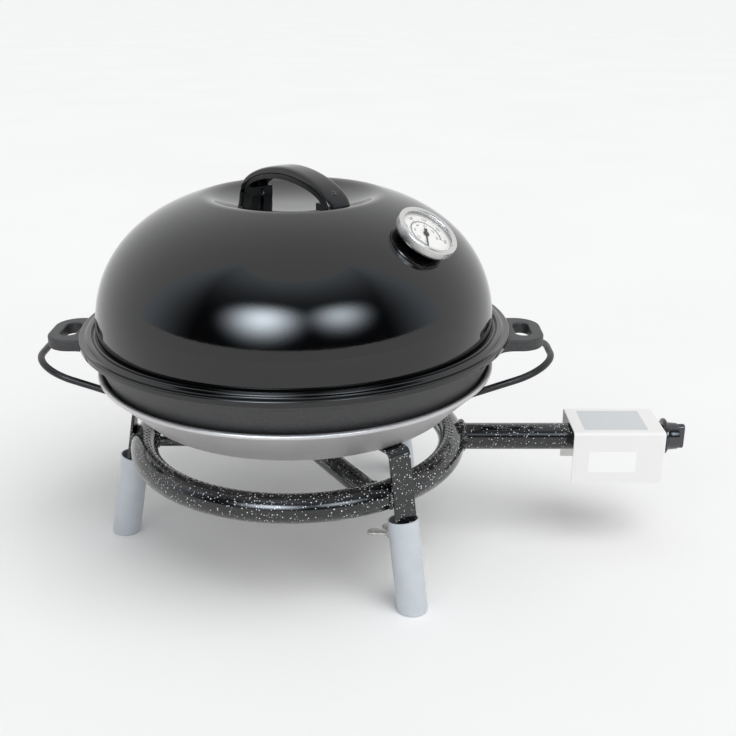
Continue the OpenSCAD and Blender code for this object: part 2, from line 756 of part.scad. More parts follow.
module loop_wire() {
    straight = loop_len - loop_corner;
    for (side = [-1, 1]) {
        translate([0, side * loop_w / 2, 0]) rod_x(wire_d, 0, straight);
        translate([straight, side * (loop_w / 2 - loop_corner), 0]) rotate([0, 0, side > 0 ? 0 : -90])
            rotate_extrude(angle = 90) translate([loop_corner, 0]) circle(d = wire_d);
    }
    translate([loop_len, loop_w / 2 - loop_corner, 0]) rotate([90, 0, 0])
        cylinder(d = wire_d, h = loop_w - 2 * loop_corner);
}

module pan_rivets() {
    color([0.8, 0.8, 0.8]) at_pan() for (half = [0, 180], turn = [-1, 1])
        rotate([0, 0, half + turn * loop_angle]) at_rivet() {
            translate([0, 0, -pan_t - joint_gap - rivet_head_h])
                cylinder(d1 = rivet_d, d2 = rivet_head_d, h = rivet_head_h);
            translate([0, 0, -pan_t - joint_gap]) cylinder(d = rivet_d, h = pan_t + 2 * joint_gap + paddle_t);
        }
}

// Cast grill pan with ring ridges and two pierced handles
module grill_pan() {
    color([0.16, 0.16, 0.17]) translate([axis_x, 0, grill_z]) difference() {
        union() {
            rotate_extrude() polygon(grill_outside());
            for (half = [0, 180]) rotate([0, 0, half]) grill_ear();
        }
        rotate_extrude() polygon(grill_inside());
        for (half = [0, 180]) rotate([0, 0, half])
            translate([grill_d / 2 + ear_reach / 2, 0, 0]) rotate([0, 0, 90])
                linear_extrude(grill_h) stadium(hole_len, hole_w);
    }
}

// Wall with a round corner below and a rim that stands out above
function grill_outside() = concat([[0, 0]],
    arc([grill_flat_r, grill_corner], grill_corner, -90, grill_lean - 90),
    [grill_side(grill_h - rim_h), [grill_d / 2, grill_h - rim_h + rim_lip],
    [grill_d / 2, grill_h], [0, grill_h]]);

function grill_side(z) = [grill_base_d / 2 + z / tan(grill_lean), z];

function grill_inside() = concat([[0, grill_t + ridge_h]],
    [for (i = [0 : ridge_count - 1]) each ridge_groove(disc_d / 2 + i * ridge_pitch)],
    arc([grill_flat_r, grill_corner], grill_corner - grill_t, -50, grill_lean - 90),
    [[grill_side_r - grill_t / sin(grill_lean), grill_h], [grill_side_r - grill_t / sin(grill_lean), grill_h + overrun],
    [0, grill_h + overrun]]);

// One groove, cut down between two flat ridges
function ridge_groove(r) = [[r, grill_t + ridge_h], [r + groove_w / 4, grill_t],
    [r + groove_w * 3 / 4, grill_t], [r + groove_w, grill_t + ridge_h]];

// Handle with a round end, which sweeps into the rim at both sides
module grill_ear() {
    translate([0, 0, grill_h - ear_drop - ear_t]) linear_extrude(ear_t) {
        rotate([0, 0, -90]) translate([0, ear_root_r])
            round_top(ear_w, grill_d / 2 + ear_reach - ear_root_r, ear_round);
        for (side = [-1, 1]) difference() {
            polygon([[ear_root_r, 0], [ear_sweep_x, 0], [ear_sweep_x, side * ear_sweep_y],
                grill_side_r / (grill_side_r + ear_sweep) * [ear_sweep_x, side * ear_sweep_y],
                [ear_root_r, side * ear_w / 2]]);
            translate([ear_sweep_x, side * ear_sweep_y]) circle(r = ear_sweep);
        }
    }
}

// Domed lid pressed from sheet: dished top, raised band and a lip round its edge
module lid_dome() {
    color([0.03, 0.03, 0.03]) translate([axis_x, 0, lid_z]) difference() {
        rotate_extrude() polygon(concat(lid_outer(), lid_inner()));
        rotate([0, 0, gauge_turn]) translate([gauge_r, 0, gauge_z]) rotate([0, gauge_lean, 0])
            translate([0, 0, -gauge_nut_t - lid_t]) cylinder(d = probe_d + 2 * joint_gap, h = 2 * (gauge_nut_t + lid_t));
    }
}

function lid_outer() = concat(
    [for (i = [0 : dish_steps]) lid_point(dish_r * i / dish_steps, 0)],
    [for (i = [1 : dome_steps - 1]) lid_point(dome_step_r(i, 0), 0)],
    [[dome_r, band_h], [band_r, band_h], [band_r, lid_t], [lid_d / 2, lid_t], [lid_d / 2, -lip_drop]]);

function lid_inner() = concat(
    [[lid_d / 2 - lid_t, -lip_drop], [lid_d / 2 - lid_t, 0], [band_r - lid_t, 0], [band_r - lid_t, band_h - lid_t],
    [dome_r - lid_t, band_h - lid_t]],
    [for (i = [dome_steps - 1 : -1 : 1]) lid_point(dome_step_r(i, lid_t), lid_t)],
    [for (i = [dish_steps : -1 : 0]) lid_point(dish_r * i / dish_steps, lid_t)]);

// Steps along the dome from the dish to the foot, closer together towards the foot
function dome_step_r(i, t) = dish_r + (dome_r - t - dish_r) * ramp(i, dome_steps);

// Point on the lid's outside, or t below it, where dish and dome meet in a soft edge
function lid_point(r, t) = [r, max(band_h, soft_min(dish_rim_z - dish_depth - t + dish_lift(r),
    dome_curve(r, dome_r - t, dome_h - t), crest_soft))];

// Arch of flat bar under the grip, on two feet that follow the dish
module handle_bracket() {
    color([0.05, 0.05, 0.06]) at_handle() difference() {
        union() {
            arch_band(frame_len, handle_top - grip_shell, frame_t, handle_w - 2 * joint_gap);
            intersection() {
                for (half = [0, 180]) rotate([0, 0, half])
                    translate([frame_len - foot_len, -handle_w / 2, -dish_depth])
                    cube([foot_len + overrun, handle_w, dish_depth + foot_t]);
                arch_body(frame_len, handle_top - grip_shell, handle_w + 2 * overrun);
            }
        }
        dish_body();
        at_handle_screws() rod_x(handle_screw_d + 2 * joint_gap, -2 * (grip_shell + frame_t), overrun);
    }
}

// What the feet stand on, with the clearance that they keep
module dish_body() {
    translate([0, 0, dish_floor_z - foot_z]) rotate_extrude() polygon(concat([[0, -dish_depth]],
        [for (i = [0 : dish_steps]) [dish_r * i / dish_steps, joint_gap + dish_lift(dish_r * i / dish_steps)]],
        [[dish_r, -dish_depth]]));
}

module handle_grip() {
    color([0.03, 0.03, 0.03]) at_handle() difference() {
        arch_band(arch_len, handle_top, grip_shell - joint_gap, handle_w);
        at_handle_screws() {
            rod_x(handle_screw_d + 2 * joint_gap, -2 * grip_shell, overrun);
            rod_x(handle_head_d + 2 * joint_gap, -handle_head_t - joint_gap, 2 * overrun);
        }
    }
}

// Band that follows an arch of half length a and height h, t thick and w wide
module arch_band(a, h, t, w) {
    outside = [for (i = [-arch_steps : arch_steps]) arch_point(i, a, h)];
    inside = [for (i = [arch_steps : -1 : -arch_steps]) arch_point(i, a - t, h - t)];
    rotate([90, 0, 0]) linear_extrude(w, center = true) polygon(concat(outside, inside));
}

// Everything under an arch, down past the dish
module arch_body(a, h, w) {
    outside = [for (i = [-arch_steps : arch_steps]) arch_point(i, a, h)];
    rotate([90, 0, 0]) linear_extrude(w, center = true)
        polygon(concat([[-a, -2 * dish_depth]], outside, [[a, -2 * dish_depth]]));
}

function arch_point(i, a, h) = [a * ramp(i, arch_steps), arch_z(a * ramp(i, arch_steps), a, h)];

// Screws let into the grip, square to its face, that hold it to the bracket's legs
module handle_screws() {
    color([0.35, 0.35, 0.37]) at_handle() at_handle_screws() {
        rod_x(handle_screw_d, -grip_shell - frame_t, 0);
        rod_x(handle_head_d, -handle_head_t, 0);
    }
}

module at_handle_screws() {
    for (half = [0, 180]) rotate([0, 0, half]) translate([screw_x, 0, screw_up_share * handle_top])
        rotate([0, -screw_lean, 0]) children();
}

// Thermometer: gasket, case, dial, needle, glass and bezel, with a probe held by a nut under the dome
module gauge_gasket() {
    color([0.1, 0.1, 0.1]) at_gauge() difference() {
        cylinder(d = gasket_d, h = gasket_t - slip);
        translate([0, 0, -overrun]) cylinder(d = probe_d + 2 * joint_gap, h = gasket_t + 2 * overrun);
    }
}

module gauge_case() {
    color([0.75, 0.75, 0.76]) at_gauge() difference() {
        translate([0, 0, case_z0]) cylinder(d = case_d, h = case_z1 - case_z0);
        translate([0, 0, case_z0 + case_t]) cylinder(d = case_d - 2 * case_t, h = gauge_h);
        cylinder(d = probe_d + 2 * joint_gap, h = gauge_h);
    }
}

module gauge_dial() {
    color([0.95, 0.95, 0.93]) at_gauge() difference() {
        translate([0, 0, dial_z]) cylinder(d = case_d - 2 * case_t - 2 * joint_gap, h = dial_t);
        translate([0, 0, dial_z - overrun]) cylinder(d = pivot_d + 2 * slip, h = dial_t + 2 * overrun);
    }
}

module gauge_bezel() {
    color([0.8, 0.8, 0.81]) at_gauge() difference() {
        translate([0, 0, case_z1 - gauge_h / 2]) cylinder(d = gauge_d, h = gauge_h / 2 + bezel_t);
        translate([0, 0, case_z1 - gauge_h]) cylinder(d = case_d + 2 * joint_gap, h = gauge_h + joint_gap);
        cylinder(d = gauge_d - 5 * bezel_t, h = 2 * gauge_h);
    }
}

module gauge_glass() {
    color([0.85, 0.9, 0.92, 0.35]) at_gauge() translate([0, 0, glass_z])
        cylinder(d = case_d - 2 * case_t - 2 * joint_gap, h = glass_t);
}

module gauge_probe() {
    color([0.75, 0.75, 0.76]) at_gauge() difference() {
        translate([0, 0, -probe_len]) cylinder(d = probe_d, h = probe_len + dial_z - joint_gap);
        translate([0, 0, -overrun]) cylinder(d = pivot_d + 2 * slip, h = gauge_h);
    }
}

module gauge_nut() {
    color([0.72, 0.72, 0.7]) at_gauge() translate([0, 0, gauge_nut_z]) difference() {
        cylinder(d = gauge_nut_af / cos(30), h = gauge_nut_t, $fn = 6);
        translate([0, 0, -overrun]) cylinder(d = probe_d + 2 * joint_gap, h = gauge_nut_t + 2 * overrun);
    }
}

// Needle on its pivot, at the low end of the scale
module gauge_needle() {
    color([0.08, 0.08, 0.08]) at_gauge() {
        translate([0, 0, joint_gap]) cylinder(d = pivot_d, h = dial_z + dial_t + needle_gap - joint_gap);
        translate([0, 0, dial_z + dial_t + needle_gap]) {
            cylinder(d = needle_hub_d, h = 2 * needle_t);
            rotate([0, 0, needle_angle]) linear_extrude(needle_t)
                polygon([[-needle_tail, -needle_w], [needle_len, 0], [-needle_tail, needle_w]]);
        }
    }
}

ring_tube();
for (side = spoke_sides)
    spoke(pick(spoke_sides, spoke_angles, side));
arm_tube();
arm_weld();
for (side = leg_sides) {
    bracket(pick(leg_sides, leg_angles, side));
    leg(pick(leg_sides, leg_angles, side));
    foot_plug(pick(leg_sides, leg_angles, side));
    leg_nut(pick(leg_sides, leg_angles, side));
    wing_screw(pick(leg_sides, leg_angles, side));
}
control_cover();
tap_strap();
tap_body();
tap_nut();
injector();
inlet_nipple();
push_collar();
tap_spindle();
control_knob();
knob_cap();
paella_pan();
pan_handle(180);  // pan_handle_left
pan_handle(0);  // pan_handle_right
pan_rivets();
grill_pan();
lid_dome();
handle_bracket();
handle_grip();
handle_screws();
gauge_gasket();
gauge_case();
gauge_dial();
gauge_bezel();
gauge_glass();
gauge_probe();
gauge_nut();
gauge_needle();
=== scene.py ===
# Paella burner set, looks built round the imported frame. Lengths are in mm, on the stage in metres.
import math

import bmesh
import bpy
from mathutils import Matrix, Vector


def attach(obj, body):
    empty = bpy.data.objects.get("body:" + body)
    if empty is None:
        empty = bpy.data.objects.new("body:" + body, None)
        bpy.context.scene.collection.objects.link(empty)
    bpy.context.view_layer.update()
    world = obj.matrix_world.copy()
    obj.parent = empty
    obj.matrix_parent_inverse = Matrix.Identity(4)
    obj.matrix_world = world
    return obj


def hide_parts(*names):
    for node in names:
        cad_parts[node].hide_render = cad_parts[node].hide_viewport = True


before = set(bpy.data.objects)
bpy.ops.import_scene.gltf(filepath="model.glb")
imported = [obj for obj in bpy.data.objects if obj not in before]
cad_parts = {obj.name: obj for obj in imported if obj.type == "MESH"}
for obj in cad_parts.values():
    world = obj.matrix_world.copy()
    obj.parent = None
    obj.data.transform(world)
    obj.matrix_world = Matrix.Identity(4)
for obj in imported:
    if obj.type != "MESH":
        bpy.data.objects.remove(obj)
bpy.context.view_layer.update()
print("frame loaded")

mm = 0.001
tiny = 1e-6
weldGap = 0.002  # points of one piece that are closer become one
axisX = -72.9  # ring, pans and lid share this axis


def turn(degrees, axis):
    return Matrix.Rotation(math.radians(degrees), 4, axis)


def shift(x, y, z):
    return Matrix.Translation((x, y, z))


def moved(shape, matrix):
    return [matrix @ Vector(p) for p in shape[0]], shape[1]


def joined(*shapes):
    verts, faces = [], []
    for points, polygons in shapes:
        start = len(verts)
        verts += points
        faces += [[i + start for i in polygon] for polygon in polygons]
    return verts, faces


def lathe(profile, segments, closed=False):
    # (r, z) points spun round Z, a point on the axis stays one vertex
    verts, faces, rings = [], [], []
    for r, z in profile:
        count = segments if r > tiny else 1
        rings.append([len(verts) + k for k in range(count)])
        for k in range(count):
            a = 2 * math.pi * k / segments
            verts.append(Vector((r * math.cos(a), r * math.sin(a), z)))
    pairs = list(zip(rings, rings[1:]))
    if closed:
        pairs.append((rings[-1], rings[0]))
    for low, high in pairs:
        for k in range(segments):
            n = (k + 1) % segments
            if len(low) > 1 and len(high) > 1:
                faces.append([low[k], low[n], high[n], high[k]])
            elif len(low) > 1:
                faces.append([low[k], low[n], high[0]])
            elif len(high) > 1:
                faces.append([low[0], high[n], high[k]])
    return verts, faces


def stitched(rows, count, closed):
    # faces between rows of count points, each row a loop
    faces = []
    for i in range(rows if closed else rows - 1):
        j = (i + 1) % rows
        for k in range(count):
            n = (k + 1) % count
            faces.append([i * count + k, i * count + n, j * count + n, j * count + k])
    return faces


def sweep(frames, section, closed=False):
    # frames are (origin, a, b), section is a list of (a, b) or a function of the frame's number
    verts = []
    rows = len(frames)
    for i, (origin, a, b) in enumerate(frames):
        points = section(i) if callable(section) else section
        verts += [origin + a * p + b * q for p, q in points]
    count = len(points)
    faces = stitched(rows, count, closed)
    if not closed:
        faces.append(list(range(count))[::-1])
        faces.append(list(range((rows - 1) * count, rows * count)))
    return verts, faces


def pathFrames(points, up, closed=False):
    frames = []
    last = len(points) - 1
    for i, p in enumerate(points):
        before = points[i - 1] if i or closed else p
        after = points[(i + 1) % len(points)] if i < last or closed else p
        along = (after - before).normalized()
        side = along.cross(up[i] if isinstance(up, list) else up).normalized()
        frames.append((p, side, side.cross(along)))
    return frames


def circle(r, count):
    angles = [2 * math.pi * k / count for k in range(count)]
    return [(r * math.cos(a), r * math.sin(a)) for a in angles]


def arcPoints(cx, cy, r, start, end, steps):
    angles = [math.radians(start + (end - start) * k / steps) for k in range(steps + 1)]
    return [(cx + r * math.cos(a), cy + r * math.sin(a)) for a in angles]


def roundRect(w, h, r, steps=4):
    points = []
    for cx, cy, start in [(1, 1, 0), (-1, 1, 90), (-1, -1, 180), (1, -1, 270)]:
        points += arcPoints(cx * (w / 2 - r), cy * (h / 2 - r), r, start, start + 90, steps)
    return points


def stadium(length, w, steps=12):
    half = (length - w) / 2
    return arcPoints(half, 0, w / 2, -90, 90, steps) + arcPoints(-half, 0, w / 2, 90, 270, steps)


def addObject(name, data):
    obj = bpy.data.objects.new(name, data)
    bpy.context.scene.collection.objects.link(obj)
    return obj


def meshOf(curve):
    # the curve's mesh as a shape, the curve itself goes
    obj = addObject(curve.name, curve)
    evaluated = obj.evaluated_get(bpy.context.evaluated_depsgraph_get())
    mesh = bpy.data.meshes.new_from_object(evaluated)
    shape = [v.co.copy() for v in mesh.vertices], [list(p.vertices) for p in mesh.polygons]
    bpy.data.objects.remove(obj)
    bpy.data.meshes.remove(mesh)
    bpy.data.curves.remove(curve)
    return shape


def plate(outlines, thick, edge=0.0, steps=2):
    # outlines filled in XY, holes run clockwise, thickened about z = 0 with round edges
    curve = bpy.data.curves.new("plate", "CURVE")
    curve.dimensions = "2D"
    curve.fill_mode = "BOTH"
    curve.extrude = thick / 2 - edge
    curve.bevel_depth = edge
    curve.bevel_resolution = steps
    curve.offset = -edge
    for outline in outlines:
        line = curve.splines.new("POLY")
        line.points.add(len(outline) - 1)
        for point, (x, y) in zip(line.points, outline):
            point.co = (x, y, 0, 1)
        line.use_cyclic_u = True
    return meshOf(curve)


def lettering(body, size):
    curve = bpy.data.curves.new("lettering", "FONT")
    curve.body = body
    curve.size = size
    curve.align_x = "CENTER"
    curve.align_y = "CENTER"
    curve.resolution_u = 3
    return meshOf(curve)


def addPiece(name, shape, material, body, stands=(), sharp=38, weld=False, flip=True, sheet=0):
    mesh = bpy.data.meshes.new(name)
    mesh.from_pydata([(p[0] * mm, p[1] * mm, p[2] * mm) for p in shape[0]], [], shape[1])
    form = bmesh.new()
    form.from_mesh(mesh)
    if weld:
        bmesh.ops.remove_doubles(form, verts=form.verts, dist=weldGap * mm)
    if flip:
        bmesh.ops.recalc_face_normals(form, faces=form.faces)
    limit = math.radians(sharp)
    for face in form.faces:
        face.smooth = True
    for edge in form.edges:
        if len(edge.link_faces) == 2:
            edge.smooth = edge.calc_face_angle(0) < limit
    form.to_mesh(mesh)
    form.free()
    mesh.materials.append(material)
    obj = addObject(name, mesh)
    if sheet:
        thicken = obj.modifiers.new("thicken", "SOLIDIFY")
        thicken.thickness = sheet * mm
    even = obj.modifiers.new("even", "WEIGHTED_NORMAL")  # keeps flat faces flat beside their rounded edges
    even.keep_sharp = True
    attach(obj, body)
    if stands:
        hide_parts(*stands)


def linear(code):
    parts = [int(code[i:i + 2], 16) / 255 for i in (0, 2, 4)]
    return [c / 12.92 if c <= 0.04045 else ((c + 0.055) / 1.055) ** 2.4 for c in parts] + [1.0]


def shaderOf(material):
    return material.node_tree.nodes["Principled BSDF"]


def newMaterial(name, colour, rough, metal=0.0, specular=0.5, coat=0.0):
    material = bpy.data.materials.new(name)
    material.use_nodes = True
    shader = shaderOf(material)
    shader.inputs["Base Color"].default_value = linear(colour)
    shader.inputs["Roughness"].default_value = rough
    shader.inputs["Metallic"].default_value = metal
    shader.inputs["Specular IOR Level"].default_value = specular
    shader.inputs["Coat Weight"].default_value = coat
    shader.inputs["Coat Roughness"].default_value = 0.04
    return material


def bareMaterial(name):
    material = bpy.data.materials.new(name)
    material.use_nodes = True
    material.node_tree.nodes.clear()
    return material


def node(material, kind, **sockets):
    made = material.node_tree.nodes.new("ShaderNode" + kind)
    for key, value in sockets.items():
        if key in made.inputs:
            made.inputs[key].default_value = value
        else:
            setattr(made, key, value)
    return made


def link(material, start, end):
    material.node_tree.links.new(start, end)


def spreadValue(material, source, low, high, start, end, kind="LINEAR"):
    # low to high in the source becomes start to end
    made = node(material, "MapRange", interpolation_type=kind)
    made.inputs["From Min"].default_value = low
    made.inputs["From Max"].default_value = high
    made.inputs["To Min"].default_value = start
    made.inputs["To Max"].default_value = end
    link(material, source, made.inputs["Value"])
    return made.outputs["Result"]


def noiseOn(material, scale, detail, stretch=(1, 1, 1)):
    place = node(material, "TexCoord")
    spread = node(material, "Mapping", Scale=stretch)
    link(material, place.outputs["Object"], spread.inputs["Vector"])
    texture = node(material, "TexNoise", Scale=scale, Detail=detail)
    link(material, spread.outputs["Vector"], texture.inputs["Vector"])
    return texture


def varyRough(material, low, high, scale, stretch=(1, 1, 1)):
    texture = noiseOn(material, scale, 3.0, stretch)
    rough = spreadValue(material, texture.outputs["Fac"], 0.3, 0.7, low, high)
    link(material, rough, shaderOf(material).inputs["Roughness"])


def varyColour(material, first, second, scale):
    texture = noiseOn(material, scale, 5.0)
    ramp = node(material, "ValToRGB")
    for element, position, colour in zip(ramp.color_ramp.elements, (0.35, 0.65), (first, second)):
        element.position = position
        element.color = linear(colour)
    link(material, texture.outputs["Fac"], ramp.inputs["Fac"])
    link(material, ramp.outputs["Color"], shaderOf(material).inputs["Base Color"])


def addBump(material, scale, depth, detail=3.0):
    texture = noiseOn(material, scale, detail)
    bump = node(material, "Bump", Strength=1.0, Distance=depth * mm)
    link(material, texture.outputs["Fac"], bump.inputs["Height"])
    link(material, bump.outputs["Normal"], shaderOf(material).inputs["Normal"])


specks = {"base": "0c0d0f", "speck": "e4e6e9", "cells": 430, "small": 0.03, "large": 0.3,
          "edge": (-0.02, 0.03), "ragged": 0.0007, "raggedScale": 1500}


def addSpecks(material):
    # white specks of mixed sizes with ragged edges, each in a random cell
    place = node(material, "TexCoord")
    ragged = node(material, "VectorMath", operation="MULTIPLY_ADD")
    ragged.inputs[1].default_value = [specks["ragged"]] * 3
    link(material, noiseOn(material, specks["raggedScale"], 1.0).outputs["Color"], ragged.inputs[0])
    link(material, place.outputs["Object"], ragged.inputs[2])
    cells = node(material, "TexVoronoi", Scale=specks["cells"], Randomness=1.0)
    link(material, ragged.outputs["Vector"], cells.inputs["Vector"])
    parts = node(material, "SeparateColor")
    link(material, cells.outputs["Color"], parts.inputs["Color"])
    edge = node(material, "Math", operation="SUBTRACT")
    size = spreadValue(material, parts.outputs["Red"], 0, 1, specks["small"], specks["large"])
    link(material, size, edge.inputs[0])
    link(material, cells.outputs["Distance"], edge.inputs[1])
    mix = node(material, "MixRGB", Color1=linear(specks["base"]), Color2=linear(specks["speck"]))
    link(material, spreadValue(material, edge.outputs["Value"], *specks["edge"], 0, 1), mix.inputs["Fac"])
    link(material, mix.outputs["Color"], shaderOf(material).inputs["Base Color"])


# Paints, metals and plastics
speckled = newMaterial("speckledEnamel", "0d0e10", 0.15, coat=0.5)
addSpecks(speckled)
addBump(speckled, 300, 0.05)
lidEnamel = newMaterial("lidEnamel", "050506", 0.07, specular=0.65)
varyRough(lidEnamel, 0.05, 0.09, 40)
addBump(lidEnamel, 420, 0.012, 1.0)
castIron = newMaterial("castIron", "3c3c3d", 0.5, specular=0.45)
varyColour(castIron, "363637", "434344", 420)
varyRough(castIron, 0.42, 0.58, 420)
addBump(castIron, 900, 0.10)
panSteel = newMaterial("panSteel", "cfcccd", 0.4, metal=0.8)
varyColour(panSteel, "cdcacb", "d3d1d1", 22)
varyRough(panSteel, 0.37, 0.43, 60, (1, 1, 6))
addBump(panSteel, 700, 0.02)
wireBlack = newMaterial("wireBlack", "141415", 0.34)
varyRough(wireBlack, 0.28, 0.42, 200)
addBump(wireBlack, 500, 0.04)
legSilver = newMaterial("legSilver", "c4cbd2", 0.26, metal=0.2, coat=0.5)
varyColour(legSilver, "c0c7ce", "c6cdd4", 60)
addBump(legSilver, 420, 0.02)
legPlastic = newMaterial("legPlastic", "9ba1a8", 0.5)
varyRough(legPlastic, 0.42, 0.58, 300)
zinc = newMaterial("zinc", "bdbcb8", 0.3, metal=1.0)
varyColour(zinc, "a9a8a3", "cdccc8", 240)
varyRough(zinc, 0.22, 0.42, 320)
coverWhite = newMaterial("coverWhite", "f1f1f0", 0.36, specular=0.25)
varyRough(coverWhite, 0.3, 0.42, 180)
addBump(coverWhite, 600, 0.012)
stickerGrey = newMaterial("stickerGrey", "d3d6d8", 0.45, specular=0.25)
varyRough(stickerGrey, 0.4, 0.5, 120)
stickerWhite = newMaterial("stickerWhite", "fafafa", 0.42, specular=0.2)
varyRough(stickerWhite, 0.38, 0.48, 120)
brass = newMaterial("brass", "c9a152", 0.28, metal=1.0)
varyColour(brass, "b98f42", "d4b062", 160)
varyRough(brass, 0.2, 0.36, 260)
knobBlack = newMaterial("knobBlack", "58585a", 0.12, metal=1.0)  # a black that shines like metal
varyRough(knobBlack, 0.1, 0.16, 150)
knobSilver = newMaterial("knobSilver", "cfd0d2", 0.18, metal=1.0)
varyRough(knobSilver, 0.14, 0.24, 300, (1, 1, 8))
rivetSteel = newMaterial("rivetSteel", "c2c1c0", 0.22, metal=1.0)
varyRough(rivetSteel, 0.16, 0.3, 400)
handleBlack = newMaterial("handleBlack", "09090a", 0.12)
varyRough(handleBlack, 0.09, 0.16, 120)
addBump(handleBlack, 260, 0.012)
frameBlack = newMaterial("frameBlack", "121213", 0.4)
varyRough(frameBlack, 0.34, 0.48, 260)
screwDark = newMaterial("screwDark", "4b4b4e", 0.3, metal=1.0)
varyRough(screwDark, 0.22, 0.4, 500)
rubber = newMaterial("gasketRubber", "161616", 0.7)
varyRough(rubber, 0.6, 0.8, 300)
gaugeSteel = newMaterial("gaugeSteel", "d8d7d5", 0.26, metal=1.0)
varyRough(gaugeSteel, 0.2, 0.32, 90)
dialWhite = newMaterial("dialWhite", "f4f4f1", 0.5)
varyColour(dialWhite, "f1f1ee", "f6f6f4", 80)
dialPrint = newMaterial("dialPrint", "1a1a1c", 0.5)
varyRough(dialPrint, 0.45, 0.55, 200)
needleBlack = newMaterial("needleBlack", "0d0d0e", 0.35)
varyRough(needleBlack, 0.3, 0.4, 300)
glass = bareMaterial("gaugeGlass")
glassMix = node(glass, "MixShader")
glassFront = node(glass, "Math", operation="SUBTRACT", use_clamp=True)  # only the outer face mirrors
link(glass, node(glass, "Fresnel", IOR=1.45).outputs["Fac"], glassFront.inputs[0])
link(glass, node(glass, "NewGeometry").outputs["Backfacing"], glassFront.inputs[1])
link(glass, glassFront.outputs["Value"], glassMix.inputs["Fac"])
link(glass, node(glass, "BsdfTransparent").outputs["BSDF"], glassMix.inputs[1])
link(glass, node(glass, "BsdfGlossy", Roughness=0.03).outputs["BSDF"], glassMix.inputs[2])
link(glass, glassMix.outputs["Shader"], node(glass, "OutputMaterial").inputs["Surface"])
print("materials ready")


def drilled(point, tube, holes, closed):
    # tube wall of small cells, the 2 x 2 cells round each hole become a round port cut right through
    along, sides, wall = tube["along"], tube["sides"], tube["wall"]
    verts, faces, known, taken = [], [], {}, set()
    near = [(-1, -1), (0, -1), (1, -1), (1, 0), (1, 1), (0, 1), (-1, 1), (-1, 0)]
    count = len(near)

    def vert(i, j, lift):
        key = (i % along if closed else i, j % sides, lift)
        if key not in known:
            known[key] = len(verts)
            verts.append(point(*key))
        return known[key]

    for i, j in holes:
        for di, dj in [(-1, -1), (-1, 0), (0, -1), (0, 0)]:
            taken.add(((i + di) % along, (j + dj) % sides))
        goU = (point(i + 1, j, 0) - point(i - 1, j, 0)) / 2
        goV = (point(i, j + 1, 0) - point(i, j - 1, 0)) / 2
        rims = []
        for lift in (0, -wall):
            middle = point(i, j, lift)
            rim = [len(verts) + k for k in range(count)]
            verts += [middle + (goU * du + goV * dv).normalized() * tube["hole"] for du, dv in near]
            edge = [vert(i + du, j + dv, lift) for du, dv in near]
            for k in range(count):
                n = (k + 1) % count
                face = [edge[k], edge[n], rim[n], rim[k]]
                faces.append(face if lift == 0 else face[::-1])
            rims.append(rim)
        for k in range(count):
            n = (k + 1) % count
            faces.append([rims[0][k], rims[0][n], rims[1][n], rims[1][k]])
    for i in range(along):
        for j in range(sides):
            if (i, j) not in taken:
                corners = [(i, j), (i + 1, j), (i + 1, j + 1), (i, j + 1)]
                faces.append([vert(u, v, 0) for u, v in corners])
                faces.append([vert(u, v, -wall) for u, v in corners[::-1]])
    if not closed:
        for i in (0, along):
            for j in range(sides):
                face = [vert(i, j, 0), vert(i, j + 1, 0), vert(i, j + 1, -wall), vert(i, j, -wall)]
                faces.append(face if i == 0 else face[::-1])
    return verts, faces


def portRows(tube, first, last):
    # every second row of ports lies half a pitch further along
    holes = []
    for row, v in enumerate(tube["rows"]):
        for u in range(first + row % 2 * tube["pitch"] // 2, last, tube["pitch"]):
            holes.append((u, v))
    return holes


weldScale = {"step": 0.9, "drift": 0.31, "sides": 10}


def bead(points, ups, weld, closed):
    # weld bead with scales along it
    def section(i):
        wave = math.sin(i * weldScale["step"]) + 0.5 * math.sin(i * weldScale["drift"] + 1)
        return circle(weld["bead"] * (1 + weld["ripple"] * wave), weldScale["sides"])

    return sweep(pathFrames(points, ups, closed), section, closed)


def addEnamel(name, shape, *stands):
    addPiece(name, shape, speckled, "burner", stands)


# Burner ring with three close rows of ports over its crest, none where a spoke meets it
ring = {"r": 161.0, "tube": 14.0, "wall": 1.5, "z": 113.0, "hole": 1.2, "rows": [1, 3, 5], "pitch": 4,
        "along": 540, "sides": 40, "fine": 6, "step": 6.0, "clear": 5.2}
spokeAngles = {"left": 180, "front": -60, "rear": 60}
atRing = shift(axisX, 0, ring["z"])


def ringPoint(u, v, lift):
    # cells are narrow over the crest, where the ports are, and even round the rest of the tube
    a = 2 * math.pi * u / ring["along"]
    drilledPart = ring["fine"] * ring["step"]
    wide = (360 - drilledPart) / (ring["sides"] - ring["fine"])
    turned = v * ring["step"] if v <= ring["fine"] else drilledPart + (v - ring["fine"]) * wide
    b = math.radians(turned - ring["step"])
    d = ring["tube"] + lift
    r = ring["r"] - d * math.sin(b)
    return Vector((r * math.cos(a), r * math.sin(a), d * math.cos(b)))


def spokeGap(u):
    a = 360 * u / ring["along"]
    return min(abs((a - s + 540) % 360 - 180) for s in spokeAngles.values())


def ringX(y, z, side):
    # where a tube along X meets the ring, inside it (-1) or outside it (1)
    return math.sqrt((ring["r"] + side * math.sqrt(ring["tube"] ** 2 - z * z)) ** 2 - y * y)


ringHoles = [(u, v) for u, v in portRows(ring, 0, ring["along"]) if spokeGap(u) > ring["clear"]]
addEnamel("ring", moved(drilled(ringPoint, ring, ringHoles, True), atRing), "ring_tube")

# Spokes, welded to the inside of the ring
spoke = {"r": 11.0, "wall": 1.5, "length": 149.0, "hole": 1.2, "rows": [-2, 0, 2], "pitch": 4, "first": 12,
         "last": 81, "along": 88, "sides": 30}
spokeWeld = {"r": 11.4, "sunk": 0.6, "lean": -0.5, "bead": 1.7, "ripple": 0.13, "steps": 98}


